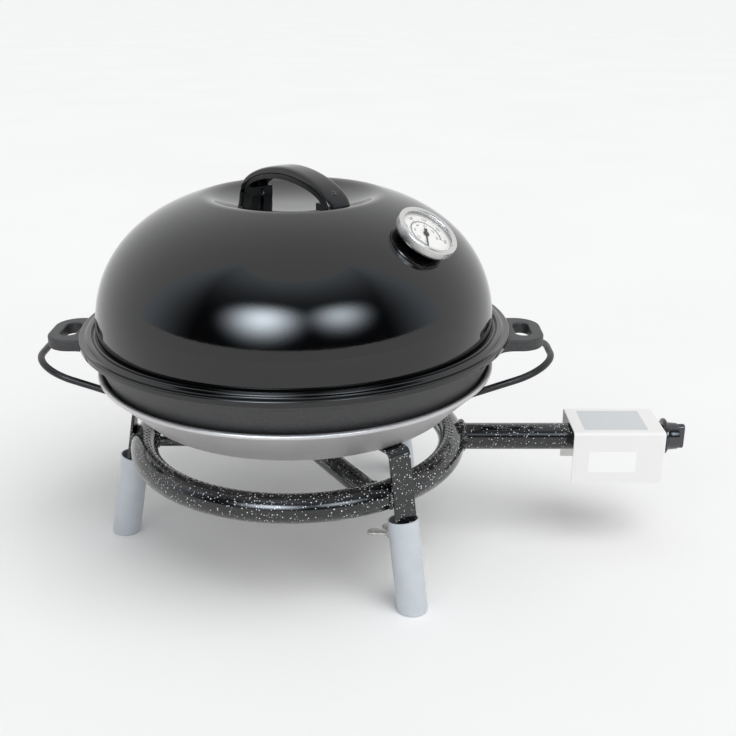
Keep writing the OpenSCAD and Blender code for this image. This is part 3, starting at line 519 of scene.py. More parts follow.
def spokePoint(u, v, lift):
    b = 2 * math.pi * v / spoke["sides"]
    d = spoke["r"] + lift
    return Vector((spoke["length"] * u / spoke["along"], d * math.sin(b), d * math.cos(b)))


def spokeBead():
    points, ups = [], []
    for c, s in circle(1, spokeWeld["steps"]):
        y, z = spokeWeld["r"] * c, spokeWeld["r"] * s
        points.append(Vector((ringX(y, z, -1) - spokeWeld["sunk"], y, z)))
        ups.append(Vector((spokeWeld["lean"], c, s)))
    return bead(points, ups, spokeWeld, True)


spokeHoles = portRows(spoke, spoke["first"], spoke["last"])
spokeMesh = joined(drilled(spokePoint, spoke, spokeHoles, False), spokeBead())
for side, angle in spokeAngles.items():
    addEnamel("spoke_tube_" + side, moved(spokeMesh, atRing @ turn(angle, "Z")), "spoke_" + side)
print("ring and spokes")

# Arm with its open mouth under the cover, and the weld where it meets the ring
arm = {"r": 14.0, "bore": 12.5, "start": 163.0, "mouth": 325.0, "boreStart": 193.0, "sides": 56}
armWeld = {"wide": 14.2, "tall": 13.9, "swell": 1.04, "from": 171.0, "bulge": 2.0, "lean": 0.4, "bead": 3.1,
           "ripple": 0.14, "steps": 112}
armCollar = [(13.9, 164), (16.6, 168), (16.9, 171), (14.2, 176.5), (13.9, 176.5)]


def armBead():
    points, ups = [], []
    for c, s in circle(1, armWeld["steps"]):
        y, z = armWeld["wide"] * c, armWeld["tall"] * s
        x = max(ringX(y, z, 1), armWeld["from"] + armWeld["bulge"] * abs(c))
        points.append(Vector((x, armWeld["swell"] * y, armWeld["swell"] * z)))
        ups.append(Vector((armWeld["lean"], c, s)))
    return bead(points, ups, armWeld, True)


def armShape():
    r, bore, mouth = arm["r"], arm["bore"], arm["mouth"]
    tube = [(r, arm["start"]), (r, mouth - 0.5), (r - 0.5, mouth), (bore + 0.3, mouth), (bore, mouth - 0.3),
            (bore, arm["boreStart"])]
    tubeMesh, collarMesh = [lathe(profile, arm["sides"], True) for profile in (tube, armCollar)]
    return joined(moved(tubeMesh, turn(90, "Y")), armBead(), moved(collarMesh, turn(90, "Y")))


addEnamel("arm", moved(armShape(), atRing), "arm_tube", "arm_weld")

# Brackets bent from flat bar, welded to the outside of the ring
bar = {"w": 24.0, "t": 3.0, "edge": 0.7, "inner": 14.0, "tip": 98.0, "stops": [60.0, 20.0, -20.0],
       "up": 47.0, "seatIn": -20.98, "bend": 5.5, "tilt": 10.0, "end": 1.0, "slim": 0.8}
barWeld = {"r": 13.6, "spread": 34.0, "out": 0.6, "bead": 2.1, "ripple": 0.12, "steps": 42}
legAngles = {"left": 180, "front": -53, "rear": 53}


def bracketShape():
    tilt = math.radians(bar["tilt"])
    out = Vector((math.cos(tilt), 0, math.sin(tilt)))
    down = Vector((math.sin(tilt), 0, -math.cos(tilt)))
    middle = bar["inner"] + bar["t"] / 2
    bendZ = bar["up"] - bar["bend"] - bar["t"] / 2
    bendX = (middle - bar["bend"] - bendZ * math.sin(tilt)) / math.cos(tilt)
    points = [out * middle + down * s for s in [bar["tip"], bar["tip"] - bar["end"]] + bar["stops"]]
    for x, z in arcPoints(bendX, bendZ, bar["bend"], bar["tilt"], 90, 8):
        points.append(Vector((x, 0, z)))
    for x in (bar["seatIn"] / 2, bar["seatIn"] + bar["end"], bar["seatIn"]):
        points.append(Vector((x, 0, bar["up"] - bar["t"] / 2)))
    across = Vector((0, 1, 0))
    last = len(points) - 1
    frames = []
    for i, p in enumerate(points):
        along = (points[min(i + 1, last)] - points[max(i - 1, 0)]).normalized()
        frames.append((p, across, across.cross(along)))

    def section(i):
        slim = bar["slim"] if i in (0, last) else 0
        return roundRect(bar["w"] - 2 * slim, bar["t"] - slim, bar["edge"], 3)

    parts = [sweep(frames, section)]
    # a weld down each side of the bar where it crosses the ring
    for side in (-1, 1):
        y = side * (bar["w"] / 2 + barWeld["out"])
        spread = barWeld["spread"]
        arc = arcPoints(barWeld["out"], 0, barWeld["r"], -spread, spread, barWeld["steps"])
        parts.append(bead([Vector((x, y, z)) for x, z in arc], across * side, barWeld, False))
    return joined(*parts)


def bracketFrame(angle):
    return atRing @ turn(angle, "Z") @ shift(ring["r"], 0, 0)


bracketMesh = bracketShape()
for side, angle in legAngles.items():
    addEnamel("bracket_bar_" + side, moved(bracketMesh, bracketFrame(angle)), "bracket_" + side)
print("arm and brackets")

# Leg tubes, open at the top and rounded where they stand
leg = {"x": 11.0, "r": 15.0, "bore": 13.5, "top": -24.0, "open": 60.0, "straight": 30.0, "footIn": 1.3,
       "footUp": 2.2, "screw": -44.0, "sides": 64}


def legShape():
    # rows of (r, z, lift), where z is None the row stands lift above the floor
    out, bore, top = leg["r"], leg["bore"], leg["top"]
    rows = [(bore, top - leg["open"], 0), (bore, top - 0.4, 0), (bore + 0.4, top, 0), (out - 0.5, top, 0),
            (out - 0.1, top - 0.3, 0), (out, top - 0.8, 0), (out, top - leg["straight"], 0)]
    for c, s in arcPoints(0, 0, 1, 0, 90, 5):
        rows.append((out - leg["footIn"] * (1 - c), None, leg["footUp"] * (1 - s)))
    rows.append((bore - 0.02, None, 0.2))
    tilt = math.radians(bar["tilt"])
    verts = []
    for r, z, lift in rows:
        for x, y in circle(r, leg["sides"]):
            x += leg["x"]
            floorZ = -(ring["z"] + math.sin(tilt) * x) / math.cos(tilt)
            verts.append(Vector((x, y, z if z is not None else floorZ + lift)))
    return verts, stitched(len(rows), leg["sides"], True)


# Wing screws, a turned hub and rod with two pressed wings
wing = {"hub": 5.4, "from": -13.1, "to": -5.3, "rod": 3.0, "end": 13.7, "span": 30.0, "reach": 20.0,
        "thick": 3.5, "edge": 1.1}


def wingShape():
    start, stop, end = wing["from"], wing["to"], wing["end"]
    hub, rod = wing["hub"], wing["rod"]
    profile = [(0, start - 0.6), (3.2, start - 0.6), (4.6, start), (5.2, start + 1.2), (hub, start + 3),
               (hub, stop - 0.6), (4.9, stop), (rod, stop), (rod, end - 0.6), (2.4, end), (0, end)]
    parts = [moved(lathe(profile, 32), turn(90, "Y"))]
    tip = wing["span"] / 5
    far = start + tip - wing["reach"]
    outline = [(start + 4.5, 1), (start + 4.5, 5.0), (start - 3, 7.4)]
    outline += arcPoints(far, wing["span"] / 2 - tip, tip, 62, 250, 16)
    outline += [(far + 7.5, 2.4), (start - 0.5, 0.6)]
    for half in ([(x, -y) for x, y in outline[::-1]], outline):
        parts.append(plate([half], wing["thick"], wing["edge"], 3))
    return joined(*parts)


legMesh = legShape()
wingMesh = wingShape()
for side, angle in legAngles.items():
    name = "leg_" + side
    place = bracketFrame(angle) @ turn(-bar["tilt"], "Y")
    addPiece("leg_tube_" + side, moved(legMesh, place), legSilver, name, [name])
    name = "wing_screw_" + side
    place = place @ shift(0, 0, leg["screw"])
    addPiece("wing_" + side, moved(wingMesh, place), zinc, name, [name], weld=True)
print("legs and wing screws")

# Control cover folded from white sheet, with two bare stickers
cover = {"left": 212.1, "right": 307.1, "w": 67.0, "low": 74.0, "high": 131.0, "bend": 3.0, "nose": 2.0,
         "sheet": 1.2}
sticker = {"thick": 0.16, "edge": 0.04, "out": 0.06, "top": (66.0, 50.0, 2.0), "topX": 257.0,
           "front": (49.0, 23.0, 1.5), "frontX": 253.0, "frontZ": 98.0}


def coverShape():
    def profile(x, inset):
        half, top = cover["w"] / 2 - inset, cover["high"] - inset
        r = cover["bend"]
        points = [(-half, cover["low"])] + arcPoints(-half + r, top - r, r, 180, 90, 6)
        points += arcPoints(half - r, top - r, r, 90, 0, 6) + [(half, cover["low"])]
        return [Vector((x, y, z)) for y, z in points]

    rows = [profile(cover["left"], 0)]
    for c, s in arcPoints(0, 0, 1, 0, 90, 5):
        rows.append(profile(cover["right"] - cover["nose"] * (1 - s), cover["nose"] * (1 - c)))
    verts = [p for row in rows for p in row]
    faces = []
    n = len(rows[0])
    for i in range(len(rows) - 1):
        for k in range(n - 1):
            faces.append([i * n + k, (i + 1) * n + k, (i + 1) * n + k + 1, i * n + k + 1])
    faces.append([len(verts) - 1 - k for k in range(n)])
    return verts, faces


def stickerShape(size, place):
    return moved(plate([roundRect(*size)], sticker["thick"], sticker["edge"], 1), place)


addPiece("cover", coverShape(), coverWhite, "burner", ["control_cover"], flip=False,
         sheet=cover["sheet"])
onTop = shift(sticker["topX"], 0, cover["high"] + sticker["out"])
onFront = shift(sticker["frontX"], -cover["w"] / 2 - sticker["out"], sticker["frontZ"]) @ turn(90, "X")
topSticker, frontSticker = stickerShape(sticker["top"], onTop), stickerShape(sticker["front"], onFront)
addPiece("sticker_top", topSticker, stickerGrey, "burner", weld=True)
addPiece("sticker_front", frontSticker, stickerWhite, "burner", weld=True)

# Knob: skirt, body and grip bar with its bright strip
knob = {"back": 311.9, "skirt": 19.0, "body": 14.9, "front": 327.9, "end": 334.9, "grip": (27.2, 9.0),
        "gripDeep": 7.6, "strip": (21.0, 3.6), "stripDeep": 1.1, "stripIn": 0.4}


def knobShape():
    back, front = knob["back"], knob["front"]
    profile = [(0, back + 14), (3.1, back + 14), (3.1, back + 9), (12, back + 8.6), (12.2, back + 0.4),
               (12.6, back), (18.2, back), (18.8, back + 0.4), (knob["skirt"], back + 1.1),
               (18.9, back + 2.2), (18.2, back + 2.9), (15.6, back + 3.3), (knob["body"], back + 4.2),
               (14.5, back + 8), (13.9, front - 1.2), (13.4, front - 0.3), (12.6, front), (0, front)]
    grip = plate([stadium(*knob["grip"])], knob["gripDeep"], 1.6, 4)
    return joined(lathe(profile, 64), moved(grip, shift(0, 0, knob["end"] - knob["gripDeep"] / 2)))


atKnob = shift(0, 0, ring["z"]) @ turn(90, "Y")
knobMesh = moved(knobShape(), atKnob)
addPiece("knob_body", knobMesh, knobBlack, "knob", ["control_knob"], weld=True)
strip = plate([stadium(*knob["strip"])], knob["stripDeep"], 0.25, 2)
strip = moved(strip, atKnob @ shift(0, 0, knob["end"] - knob["stripIn"]))
addPiece("knob_strip", strip, knobSilver, "knob", ["knob_cap"], weld=True)

# Gas inlet under the tap, with its thread cut
inlet = {"x": 277.3, "hexTop": 97.04, "hexLow": 93.08, "end": 81.08, "r": 6.6, "bore": 2.97, "af": 17.16,
         "pitch": 1.4, "sides": 32}


def inletShape():
    r, bore, pitch, sides = inlet["r"], inlet["bore"], inlet["pitch"], inlet["sides"]
    top, low, end = inlet["hexTop"], inlet["hexLow"], inlet["end"]
    corners = circle(inlet["af"] / 2 / math.cos(math.pi / 6), 6)
    hexagon = plate([corners, circle(bore, 24)[::-1]], top - low, 0.4, 2)
    hexagon = moved(hexagon, shift(0, 0, (top + low) / 2))
    helix = []
    for i in range(int((low - end - pitch) / pitch * sides) + 1):
        a = 2 * math.pi * i / sides
        z = end + pitch / 2 + pitch * i / sides
        helix.append((Vector((0, 0, z)), Vector((math.cos(a), math.sin(a), 0)), Vector((0, 0, 1))))
    thread = sweep(helix, [(r - 0.9, -0.62), (r, -0.1), (r, 0.1), (r - 0.9, 0.62)])
    core = [(r - 0.7, low), (r - 0.7, end + 0.3), (r - 1.0, end), (bore + 0.3, end), (bore, end + 0.3),
            (bore, low)]
    return moved(joined(hexagon, thread, lathe(core, sides, True)), shift(inlet["x"], 0, 0))


addPiece("inlet", inletShape(), brass, "burner", ["inlet_nipple"], weld=True)
print("cover, knob and inlet")

# Paella pan: hammered base, leaning side and rolled rim
pan = {"z": 160.3, "base": 160.0, "rim": 200.0, "flat": 156.516, "corner": 8.0, "lean": 47.07, "t": 1.5,
       "h": 43.0, "bead": 2.5, "roll": (232, 510), "segments": 224}
hammer = {"pitch": 15.0, "rowShare": 0.866, "wideShare": 0.52, "depth": 0.6, "reach": 138.0, "fade": 6.0,
          "start": 148.0, "step": 3.0, "rings": 49}
atPan = shift(axisX, 0, pan["z"])


def panDimple(x, y):
    # hollows of the hammer in hexagonal rows, fading out before the side
    pitch = hammer["pitch"]
    rowPitch = pitch * hammer["rowShare"]
    row = round(y / rowPitch)
    gaps = []
    for r in (row - 1, row, row + 1):
        offset = 0.5 * (r % 2)
        column = round(x / pitch - offset)
        gaps.append(math.hypot(x - (column + offset) * pitch, y - r * rowPitch))
    fade = min(1.0, max(0.0, (hammer["reach"] - math.hypot(x, y)) / hammer["fade"]))
    inside = max(0.0, 1 - (min(gaps) / (hammer["wideShare"] * pitch)) ** 2)
    return -hammer["depth"] * inside * fade


def panShape():
    flat, corner, lean, t = pan["flat"], pan["corner"], pan["lean"], pan["t"]
    rollStart, rollEnd = [lean + a for a in pan["roll"]]
    profile = [(0, 0)] + arcPoints(flat, corner, corner, -90, lean - 90, 8)
    roll = pan["bead"]
    profile += arcPoints(pan["rim"] - roll, pan["h"] - roll, roll, rollStart, rollEnd, 22)
    profile += arcPoints(flat, corner, corner - t, lean - 90, -90, 8)
    profile += [(hammer["start"] - hammer["step"] * k, t) for k in range(hammer["rings"])] + [(0, t)]
    verts, faces = lathe(profile, pan["segments"])
    for v in verts:
        if abs(v.z - t) < tiny:
            v.z += panDimple(v.x, v.y)
    return verts, faces


addPiece("pan_shell", moved(panShape(), atPan), panSteel, "pan", ["paella_pan"], sharp=30)

# Wire loops with flattened ends, and the rivets that hold them
loop = {"root": 170.867, "z": 20.0, "lift": 18.898, "length": 92.6256, "w": 104.0, "corner": 42.0, "r": 3.5,
        "stops": [-2.0, 4.0, 18.0], "paddle": (28.0, 14.0), "paddleThick": 2.8, "paddleOut": 1.55}
rivetTurn = 16.9266  # degrees from the loop's middle to each rivet
rivet = [(0, -3.3), (2.0, -3.4), (3.2, -3.1), (4.2, -2.4), (4.5, -1.75), (4.5, -1.62), (2.5, -1.6),
         (2.5, 3.0), (3.0, 3.0), (3.0, 3.3), (2.2, 3.7), (0, 3.8)]


def rivetFrame(angle):
    # square to the pan's side
    x = pan["base"] + loop["z"] / math.tan(math.radians(pan["lean"]))
    return turn(angle, "Z") @ shift(x, 0, loop["z"]) @ turn(180 - pan["lean"], "Y")


def loopShape():
    straight = loop["length"] - loop["corner"]
    half = loop["w"] / 2
    points = [(x, half) for x in loop["stops"] + [straight * 0.6]]
    points += arcPoints(straight, half - loop["corner"], loop["corner"], 90, 0, 18)
    points += [(x, -y) for x, y in points[::-1]]
    place = shift(loop["root"], 0, loop["z"]) @ turn(-loop["lift"], "Y")
    path = [place @ Vector((x, y, 0)) for x, y in points]
    parts = [sweep(pathFrames(path, place.to_3x3() @ Vector((0, 0, 1))), circle(loop["r"], 20))]
    paddle = plate([stadium(*loop["paddle"])], loop["paddleThick"], 1.0, 3)
    for side in (-1, 1):
        parts.append(moved(paddle, rivetFrame(side * rivetTurn) @ shift(0, 0, loop["paddleOut"])))
    return joined(*parts)


loopMesh = loopShape()
for side, half in [("left", 180), ("right", 0)]:
    loopPlaced = moved(loopMesh, atPan @ turn(half, "Z"))
    addPiece("loop_" + side, loopPlaced, wireBlack, "pan", ["pan_handle_" + side], weld=True)
rivetPlaces = [atPan @ rivetFrame(half + side * rivetTurn) for half in (0, 180) for side in (-1, 1)]
rivets = joined(*[moved(lathe(rivet, 32), place) for place in rivetPlaces])
addPiece("rivets", rivets, rivetSteel, "pan", ["pan_rivets"])
print("paella pan")

# Grill pan: cast body with ring ridges and two pierced handles
grill = {"z": 187.038, "h": 52.0, "rim": 210.0, "side": 207.0, "base": 186.0, "flat": 175.881,
         "corner": 15.0, "lean": 68.009, "t": 6.0, "flange": 41.5, "lip": 1.8, "innerLip": 1.5,
         "floorR": 179.4, "ridge": 3.0, "pitch": 9.0, "groove": 3.0, "grooves": 16, "disc": 28.5,
         "segments": 224}


def grillShape():
    floorZ, topZ = grill["t"], grill["t"] + grill["ridge"]
    flat, corner, lean, t = grill["flat"], grill["corner"], grill["lean"], grill["t"]
    rim, h, low, lip, innerLip = grill["rim"], grill["h"], grill["flange"], grill["lip"], grill["innerLip"]
    slope = math.tan(math.radians(lean))
    profile = [(0, 0)] + arcPoints(flat, corner, corner, -90, lean - 90, 10)
    profile += [(grill["base"] + low / slope, low), (grill["base"] + (low + 1.5) / slope + 0.3, low + 1.4),
                (rim - 1.6, low + 2.9), (rim - 0.4, low + 3.9), (rim, low + 5.1)]
    profile += arcPoints(rim - lip, h - lip, lip, 0, 90, 5)
    inner = grill["side"] - t / math.sin(math.radians(lean))
    profile += arcPoints(inner + innerLip, h - innerLip, innerLip, 90, 159, 4)
    profile += arcPoints(flat, corner, corner - t, lean - 90, -52, 6)
    profile += [(grill["floorR"] + 2, topZ + 0.1), (grill["floorR"], topZ)]
    # one groove between two ridges, from its outer edge inward
    w = grill["groove"]
    groove = [(w + 0.55, topZ), (w + 0.16, topZ - 0.16), (w, topZ - 0.55), (0.82 * w, floorZ + 0.4),
              (0.62 * w, floorZ), (0.38 * w, floorZ), (0.18 * w, floorZ + 0.4), (0, topZ - 0.55),
              (-0.16, topZ - 0.16), (-0.55, topZ)]
    for i in reversed(range(grill["grooves"])):
        profile += [(grill["disc"] + i * grill["pitch"] + x, z) for x, z in groove]
    return lathe(profile + [(0, topZ)], grill["segments"])


ear = {"w": 74.0, "reach": 250.0, "round": 24.667, "root": [(196.0, -50.0), (200.6, -52.2)], "sweep": 20.0,
       "sweepX": 219.727, "sweepY": 57.0, "thick": 12.0, "edge": 1.8, "z": 40.0, "hole": (40.0, 16.0),
       "holeX": 230.0}


def earShape():
    half = ear["w"] / 2
    outline = ear["root"] + arcPoints(ear["sweepX"], -ear["sweepY"], ear["sweep"], 165, 90, 10)
    outline += arcPoints(ear["reach"] - ear["round"], -half + ear["round"], ear["round"], -90, 0, 14)
    outline += [(x, -y) for x, y in outline[::-1]]
    hole = [(ear["holeX"] + y, x) for x, y in stadium(*ear["hole"], 14)]
    return moved(plate([outline, hole], ear["thick"], ear["edge"], 4), shift(0, 0, ear["z"]))


earMesh = earShape()
grillMesh = joined(grillShape(), earMesh, moved(earMesh, turn(180, "Z")))
grillMesh = moved(grillMesh, shift(axisX, 0, grill["z"]))
addPiece("grill_body", grillMesh, castIron, "grill", ["grill_pan"], sharp=42, weld=True)
print("grill pan")

# Lid: soft-edged dish, full dome, raised band and rolled lip
lid = {"z": 239.338, "r": 198.5, "h": 143.0, "power": 2.35, "dish": 85.0, "depth": 14.0, "rim": 134.358,
       "soft": 6.0, "t": 1.2, "top": 102.0, "shoulder": 190.0, "foot": 7.0, "segments": 224}
lidEdge = [(198.5, 5.0), (198.7, 3.4), (199.3, 2.5), (200.3, 2.2), (201.2, 2.6), (201.8, 3.6), (202.4, 4.6),
           (203.4, 5.1), (206.4, 5.1), (207.4, 4.7), (207.9, 3.9), (208.1, 2.6), (208.6, 1.8), (209.6, 1.5),
           (212.2, 1.5), (213.2, 1.9), (214.2, 1.9), (214.9, 1.3), (215.1, 0.4), (215.1, -3.2),
           (214.8, -3.9), (214.2, -3.9), (213.9, -3.2), (213.8, -0.4), (213.0, 0.1), (207.5, 0.3),
           (206.9, 2.6), (203.2, 3.6), (201.9, 1.0), (199, 0.6), (197.3, 3.0)]
atLid = shift(axisX, 0, lid["z"])


def lidZ(r, drop):
    # the lower of dish and dome, drop below their outer faces, blended where they meet
    a, h, power = lid["r"] - drop, lid["h"] - drop, lid["power"]
    dish = lid["rim"] - lid["depth"] - drop + lid["depth"] * (r / lid["dish"]) ** 3
    dome = h * max(0.0, 1 - (r / a) ** power) ** (1 / power)
    blend = max(0.0, 1 - abs(dish - dome) / lid["soft"])
    return min(dish, dome) - lid["soft"] / 4 * blend * blend


def lidShape():
    # even rings over the top, then rings that close up as the side steepens
    radii = [lid["top"] * k / 44 for k in range(45)]
    for k in range(1, 50):
        r = lid["r"] * math.sin(math.radians(20 + 70 * k / 50)) ** (2 / lid["power"])
        if r > lid["top"] + 2:
            radii.append(r)
    t, foot, shoulder = lid["t"], lid["foot"], lid["shoulder"]
    outside = [(r, lidZ(r, 0)) for r in radii if lidZ(r, 0) > foot or r < shoulder]
    inside = [(r - t, lidZ(r - t, t)) for r in radii[::-3] if t + 0.1 < r < lid["r"] - 0.5]
    inside = [(r, z) for r, z in inside if z > foot - 1 or r < shoulder]
    return lathe(outside + lidEdge + inside + [(0, lidZ(0, t))], lid["segments"])


addPiece("lid_shell", moved(lidShape(), atLid), lidEnamel, "lid", ["lid_dome"], sharp=50)

# Lid handle: glossy strap, rounded and a little wider at its feet
strap = {"a": 71.0, "h": 30.3585, "power": 1.8, "shell": 6.9, "w": 24.6, "flare": 0.1, "edge": 2.6,
         "edgeIn": 3.3, "crown": 0.5, "under": 0.7, "z": 368.337, "turn": -48.0, "steps": 72}
atHandle = shift(axisX, 0, strap["z"]) @ turn(strap["turn"], "Z")


def archPoint(t, shrink):
    e = 2 / strap["power"]
    c, s = math.cos(t), math.sin(t)
    x = (strap["a"] - shrink) * math.copysign(abs(c) ** e, c)
    return Vector((x, 0, (strap["h"] - shrink) * max(0.0, s) ** e))


def strapShape():
    deep, edge, under = strap["shell"], strap["edge"], strap["under"]
    frames, widths = [], []
    for k in range(strap["steps"] + 1):
        t = math.pi * k / strap["steps"]
        outer, inner = archPoint(t, 0), archPoint(t, deep)
        frames.append((outer, Vector((0, 1, 0)), (outer - inner) / deep))
        widths.append(strap["w"] * (1 + strap["flare"] * abs(math.cos(t)) ** 3))

    def section(i):
        half = widths[i] / 2
        right = arcPoints(half - edge, -strap["edgeIn"], edge, 0, 80, 5)
        shares = [0.7 - 0.2 * k for k in range(8)]
        crown = [(half * share, -strap["crown"] * share ** 2) for share in shares]
        left = [(-x, y) for x, y in right[::-1]]
        below = [(-half, under - deep), (under - half, -deep), (half - under, -deep), (half, under - deep)]
        return right + crown + left + below

    return sweep(frames, section)


strapMesh = moved(strapShape(), atHandle)
addPiece("strap", strapMesh, handleBlack, "lid", ["handle_grip"], sharp=40)

# Cross-head screws let into the strap
crossScrew = {"r": 3.9, "head": 2.0, "proud": 0.25, "arm": 2.3, "slot": 0.5, "floorR": 3.2, "deep": 1.2,
              "shankR": 2.0, "shank": (-12.0, -1.8), "x": 61.4862, "up": 13.358, "lean": 53.6848,
              "turn": 20.0}


def screwShape():
    s, e = crossScrew["slot"], crossScrew["arm"]
    cross = []
    for c, d in [(1, 0), (0, 1), (-1, 0), (0, -1)]:
        cross += [(c * x - d * y, d * x + c * y) for x, y in [(e, s), (s, s), (s, e)]]
    head = plate([circle(crossScrew["r"], 40), cross[::-1]], crossScrew["head"], 0.45, 3)
    floor = plate([circle(crossScrew["floorR"], 24)], 0.4)
    low, high = crossScrew["shank"]
    shank = lathe([(0, low), (crossScrew["shankR"], low), (crossScrew["shankR"], high), (0, high)], 24)
    return joined(moved(head, shift(0, 0, crossScrew["proud"] - crossScrew["head"] / 2)),
                  moved(floor, shift(0, 0, -crossScrew["deep"])), shank)


screwMesh = screwShape()
screwTurn = turn(90 - crossScrew["lean"], "Y") @ turn(crossScrew["turn"], "Z")
screws = []
for half in (0, 180):
    place = atHandle @ turn(half, "Z") @ shift(crossScrew["x"], 0, crossScrew["up"])
    screws.append(moved(screwMesh, place @ screwTurn))
addPiece("cross_screws", joined(*screws), screwDark, "lid", ["handle_screws"], weld=True)
print("lid and handle")

# Thermometer: case, spun bezel, printed dial, needle and glass, square to the dome
gauge = {"turn": -35.0, "r": 148.0, "z": 106.325, "lean": 35.8705, "dialZ": 8.3, "dialR": 27.9,
         "dialT": 0.5, "dialHole": 1.1, "needleZ": 9.2, "needleTurn": -45.0}
atGauge = atLid @ turn(gauge["turn"], "Z") @ shift(gauge["r"], 0, gauge["z"]) @ turn(gauge["lean"], "Y")
case = [(3.2, 2.4), (24, 2.4), (27, 2.9), (28.6, 4.2), (29, 6), (29, 12.3), (28, 12.3), (28, 4.6),
        (26, 3.4), (3.2, 3.4)]
bezel = [(29.15, 6.4), (29.6, 6.2), (30, 6.6), (30, 12.2), (29.8, 13.2), (29.2, 14.0), (28.2, 14.4),
         (27.2, 14.3), (25.6, 13.6), (25.1, 13.1), (25.0, 12.6), (25.6, 12.5), (29.1, 12.5)]
dialLow = gauge["dialZ"] - gauge["dialT"]
dial = [(gauge["dialHole"], gauge["dialZ"]), (gauge["dialR"], gauge["dialZ"]), (gauge["dialR"], dialLow),
        (gauge["dialHole"], dialLow)]
turnedParts = [("case", case, 96, gaugeSteel, "gauge_steel"),
               ("bezel", bezel, 128, gaugeSteel, "gauge_steel"),
               ("dial", dial, 96, dialWhite, "dial_white")]
for name, profile, sides, material, slot in turnedParts:
    addPiece(name, moved(lathe(profile, sides, True), atGauge), material, "lid", ["gauge_" + name])

# Dial print: two scales, their marks run from near r to far r, their numbers are (r, size, step)
dialScale = {"start": 225, "sweep": 270, "lift": 0.05, "ink": 0.04, "arc": (15.2, 15.7), "outerW": 0.45,
             "outer": [(15.5, 18.4), (15.5, 17.4), (15.5, 16.7)], "innerW": 0.4,
             "inner": [(13.6, 15.4), (14.5, 15.4)], "numbers": [(20.3, 3.8, 50), (11.3, 2.7, 100)]}


def onDial(share):
    # share of the scale, which runs clockwise, local X runs down the lid to six
    clock = dialScale["start"] + dialScale["sweep"] * share
    return shift(0, 0, gauge["dialZ"] + dialScale["lift"]) @ turn(90 - clock, "Z")


def dialMark(share, reach, w):
    near, far = reach
    points = [(-w / 2, near, 0), (w / 2, near, 0), (w / 2, far, 0), (-w / 2, far, 0)]
    return moved((points, [[0, 1, 2, 3]]), onDial(share))


def dialArc(near, far, steps=90):
    verts = [onDial(k / steps) @ Vector((0, r, 0)) for k in range(steps + 1) for r in (near, far)]
    return verts, [[2 * k, 2 * k + 1, 2 * k + 3, 2 * k + 2] for k in range(steps)]


def dialShapes():
    long, middle, short = dialScale["outer"]
    longIn, shortIn = dialScale["inner"]
    parts = [dialArc(*dialScale["arc"])]
    for k in range(61):
        reach = long if k % 10 == 0 else middle if k % 5 == 0 else short
        parts.append(dialMark(k / 60, reach, dialScale["outerW"]))
    for k in range(31):
        parts.append(dialMark(k / 30, longIn if k % 5 == 0 else shortIn, dialScale["innerW"]))
    for r, size, step in dialScale["numbers"]:
        for k in range(7):
            parts.append(moved(lettering(str(step * (k + 1)), size), onDial(k / 6) @ shift(0, r, 0)))
    return joined(*parts)


dialMesh = moved(dialShapes(), atGauge)
addPiece("dial_print", dialMesh, dialPrint, "lid", flip=False, sheet=dialScale["ink"])
pointer = [(22.5, 0.25), (3, 0.75), (2.6, 2.4), (0, 3.1), (-2.4, 2.2), (-3, 1.3), (-7, 1.7)]
pointer += [(x, -y) for x, y in pointer[::-1]]
pivot = [(0, 10.1), (1.4, 10.0), (2.2, 9.6), (2.4, 9.2), (1.0, 9.0), (1.0, 0.2), (0, 0.2)]
needleMesh = joined(moved(plate([pointer], 0.5, 0.08, 1), shift(0, 0, gauge["needleZ"])), lathe(pivot, 32))
needleMesh = moved(needleMesh, atGauge @ turn(gauge["needleTurn"], "Z"))
addPiece("pointer", needleMesh, needleBlack, "needle", ["gauge_needle"], weld=True)
crystal = [(0, 11.9), (12, 11.8), (22, 11.55), (27.9, 11.3), (27.9, 12.3), (22, 12.55), (12, 12.8),
           (0, 12.9)]
addPiece("crystal", moved(lathe(crystal, 96), atGauge), glass, "lid", ["gauge_glass"])
print("thermometer")


def dress(name, material, width):
    # keeps the CAD solid, softens its edges and paints it
    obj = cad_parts[name]
    obj.data.materials.clear()
    obj.data.materials.append(material)
    merge = obj.modifiers.new("merge", "WELD")
    merge.merge_threshold = 0.004 * mm
    soften = obj.modifiers.new("soften", "BEVEL")
    soften.width = width * mm
    soften.segments = 2
    soften.limit_method = "ANGLE"
    soften.angle_limit = math.radians(35)
    soften.harden_normals = True


# solids that stay as they come, each with its finish and the width of its softened edges
kept = {"tap_strap": (zinc, 0.5), "tap_body": (brass, 0.4), "tap_nut": (zinc, 0.35),
        "injector": (brass, 0.25), "push_collar": (zinc, 0.2), "tap_spindle": (brass, 0.3),
        "handle_bracket": (frameBlack, 0.6), "gauge_gasket": (rubber, 0.3),
        "gauge_probe": (gaugeSteel, 0.4), "gauge_nut": (zinc, 0.35)}
for side in legAngles:
    kept["foot_plug_" + side] = (legPlastic, 0.4)
    kept["leg_nut_" + side] = (zinc, 0.25)
for name, (material, width) in kept.items():
    dress(name, material, width)
print("kept solids dressed")

# Pale floor, soft lamps, and a room wall on the camera's side that only reflections see
floorHalf = 60.0
room = {"r": 3.2, "low": 0.7, "high": 9.0, "shade": 1.8, "dark": 0.015, "bright": 0.92, "sideY": -2.0,
        "sides": 48, "colour": (0.82, 0.91, 1.0, 1), "fall": 1.8,
        "glows": [((-0.95, -3.05, 2.4), 2.0, 15), ((1.6, -2.77, 2.5), 1.7, 8)]}


def stageObject(name, verts, faces, material):
    mesh = bpy.data.meshes.new(name)
    mesh.from_pydata(verts, [], faces)
    mesh.materials.append(material)
    return addObject(name, mesh)


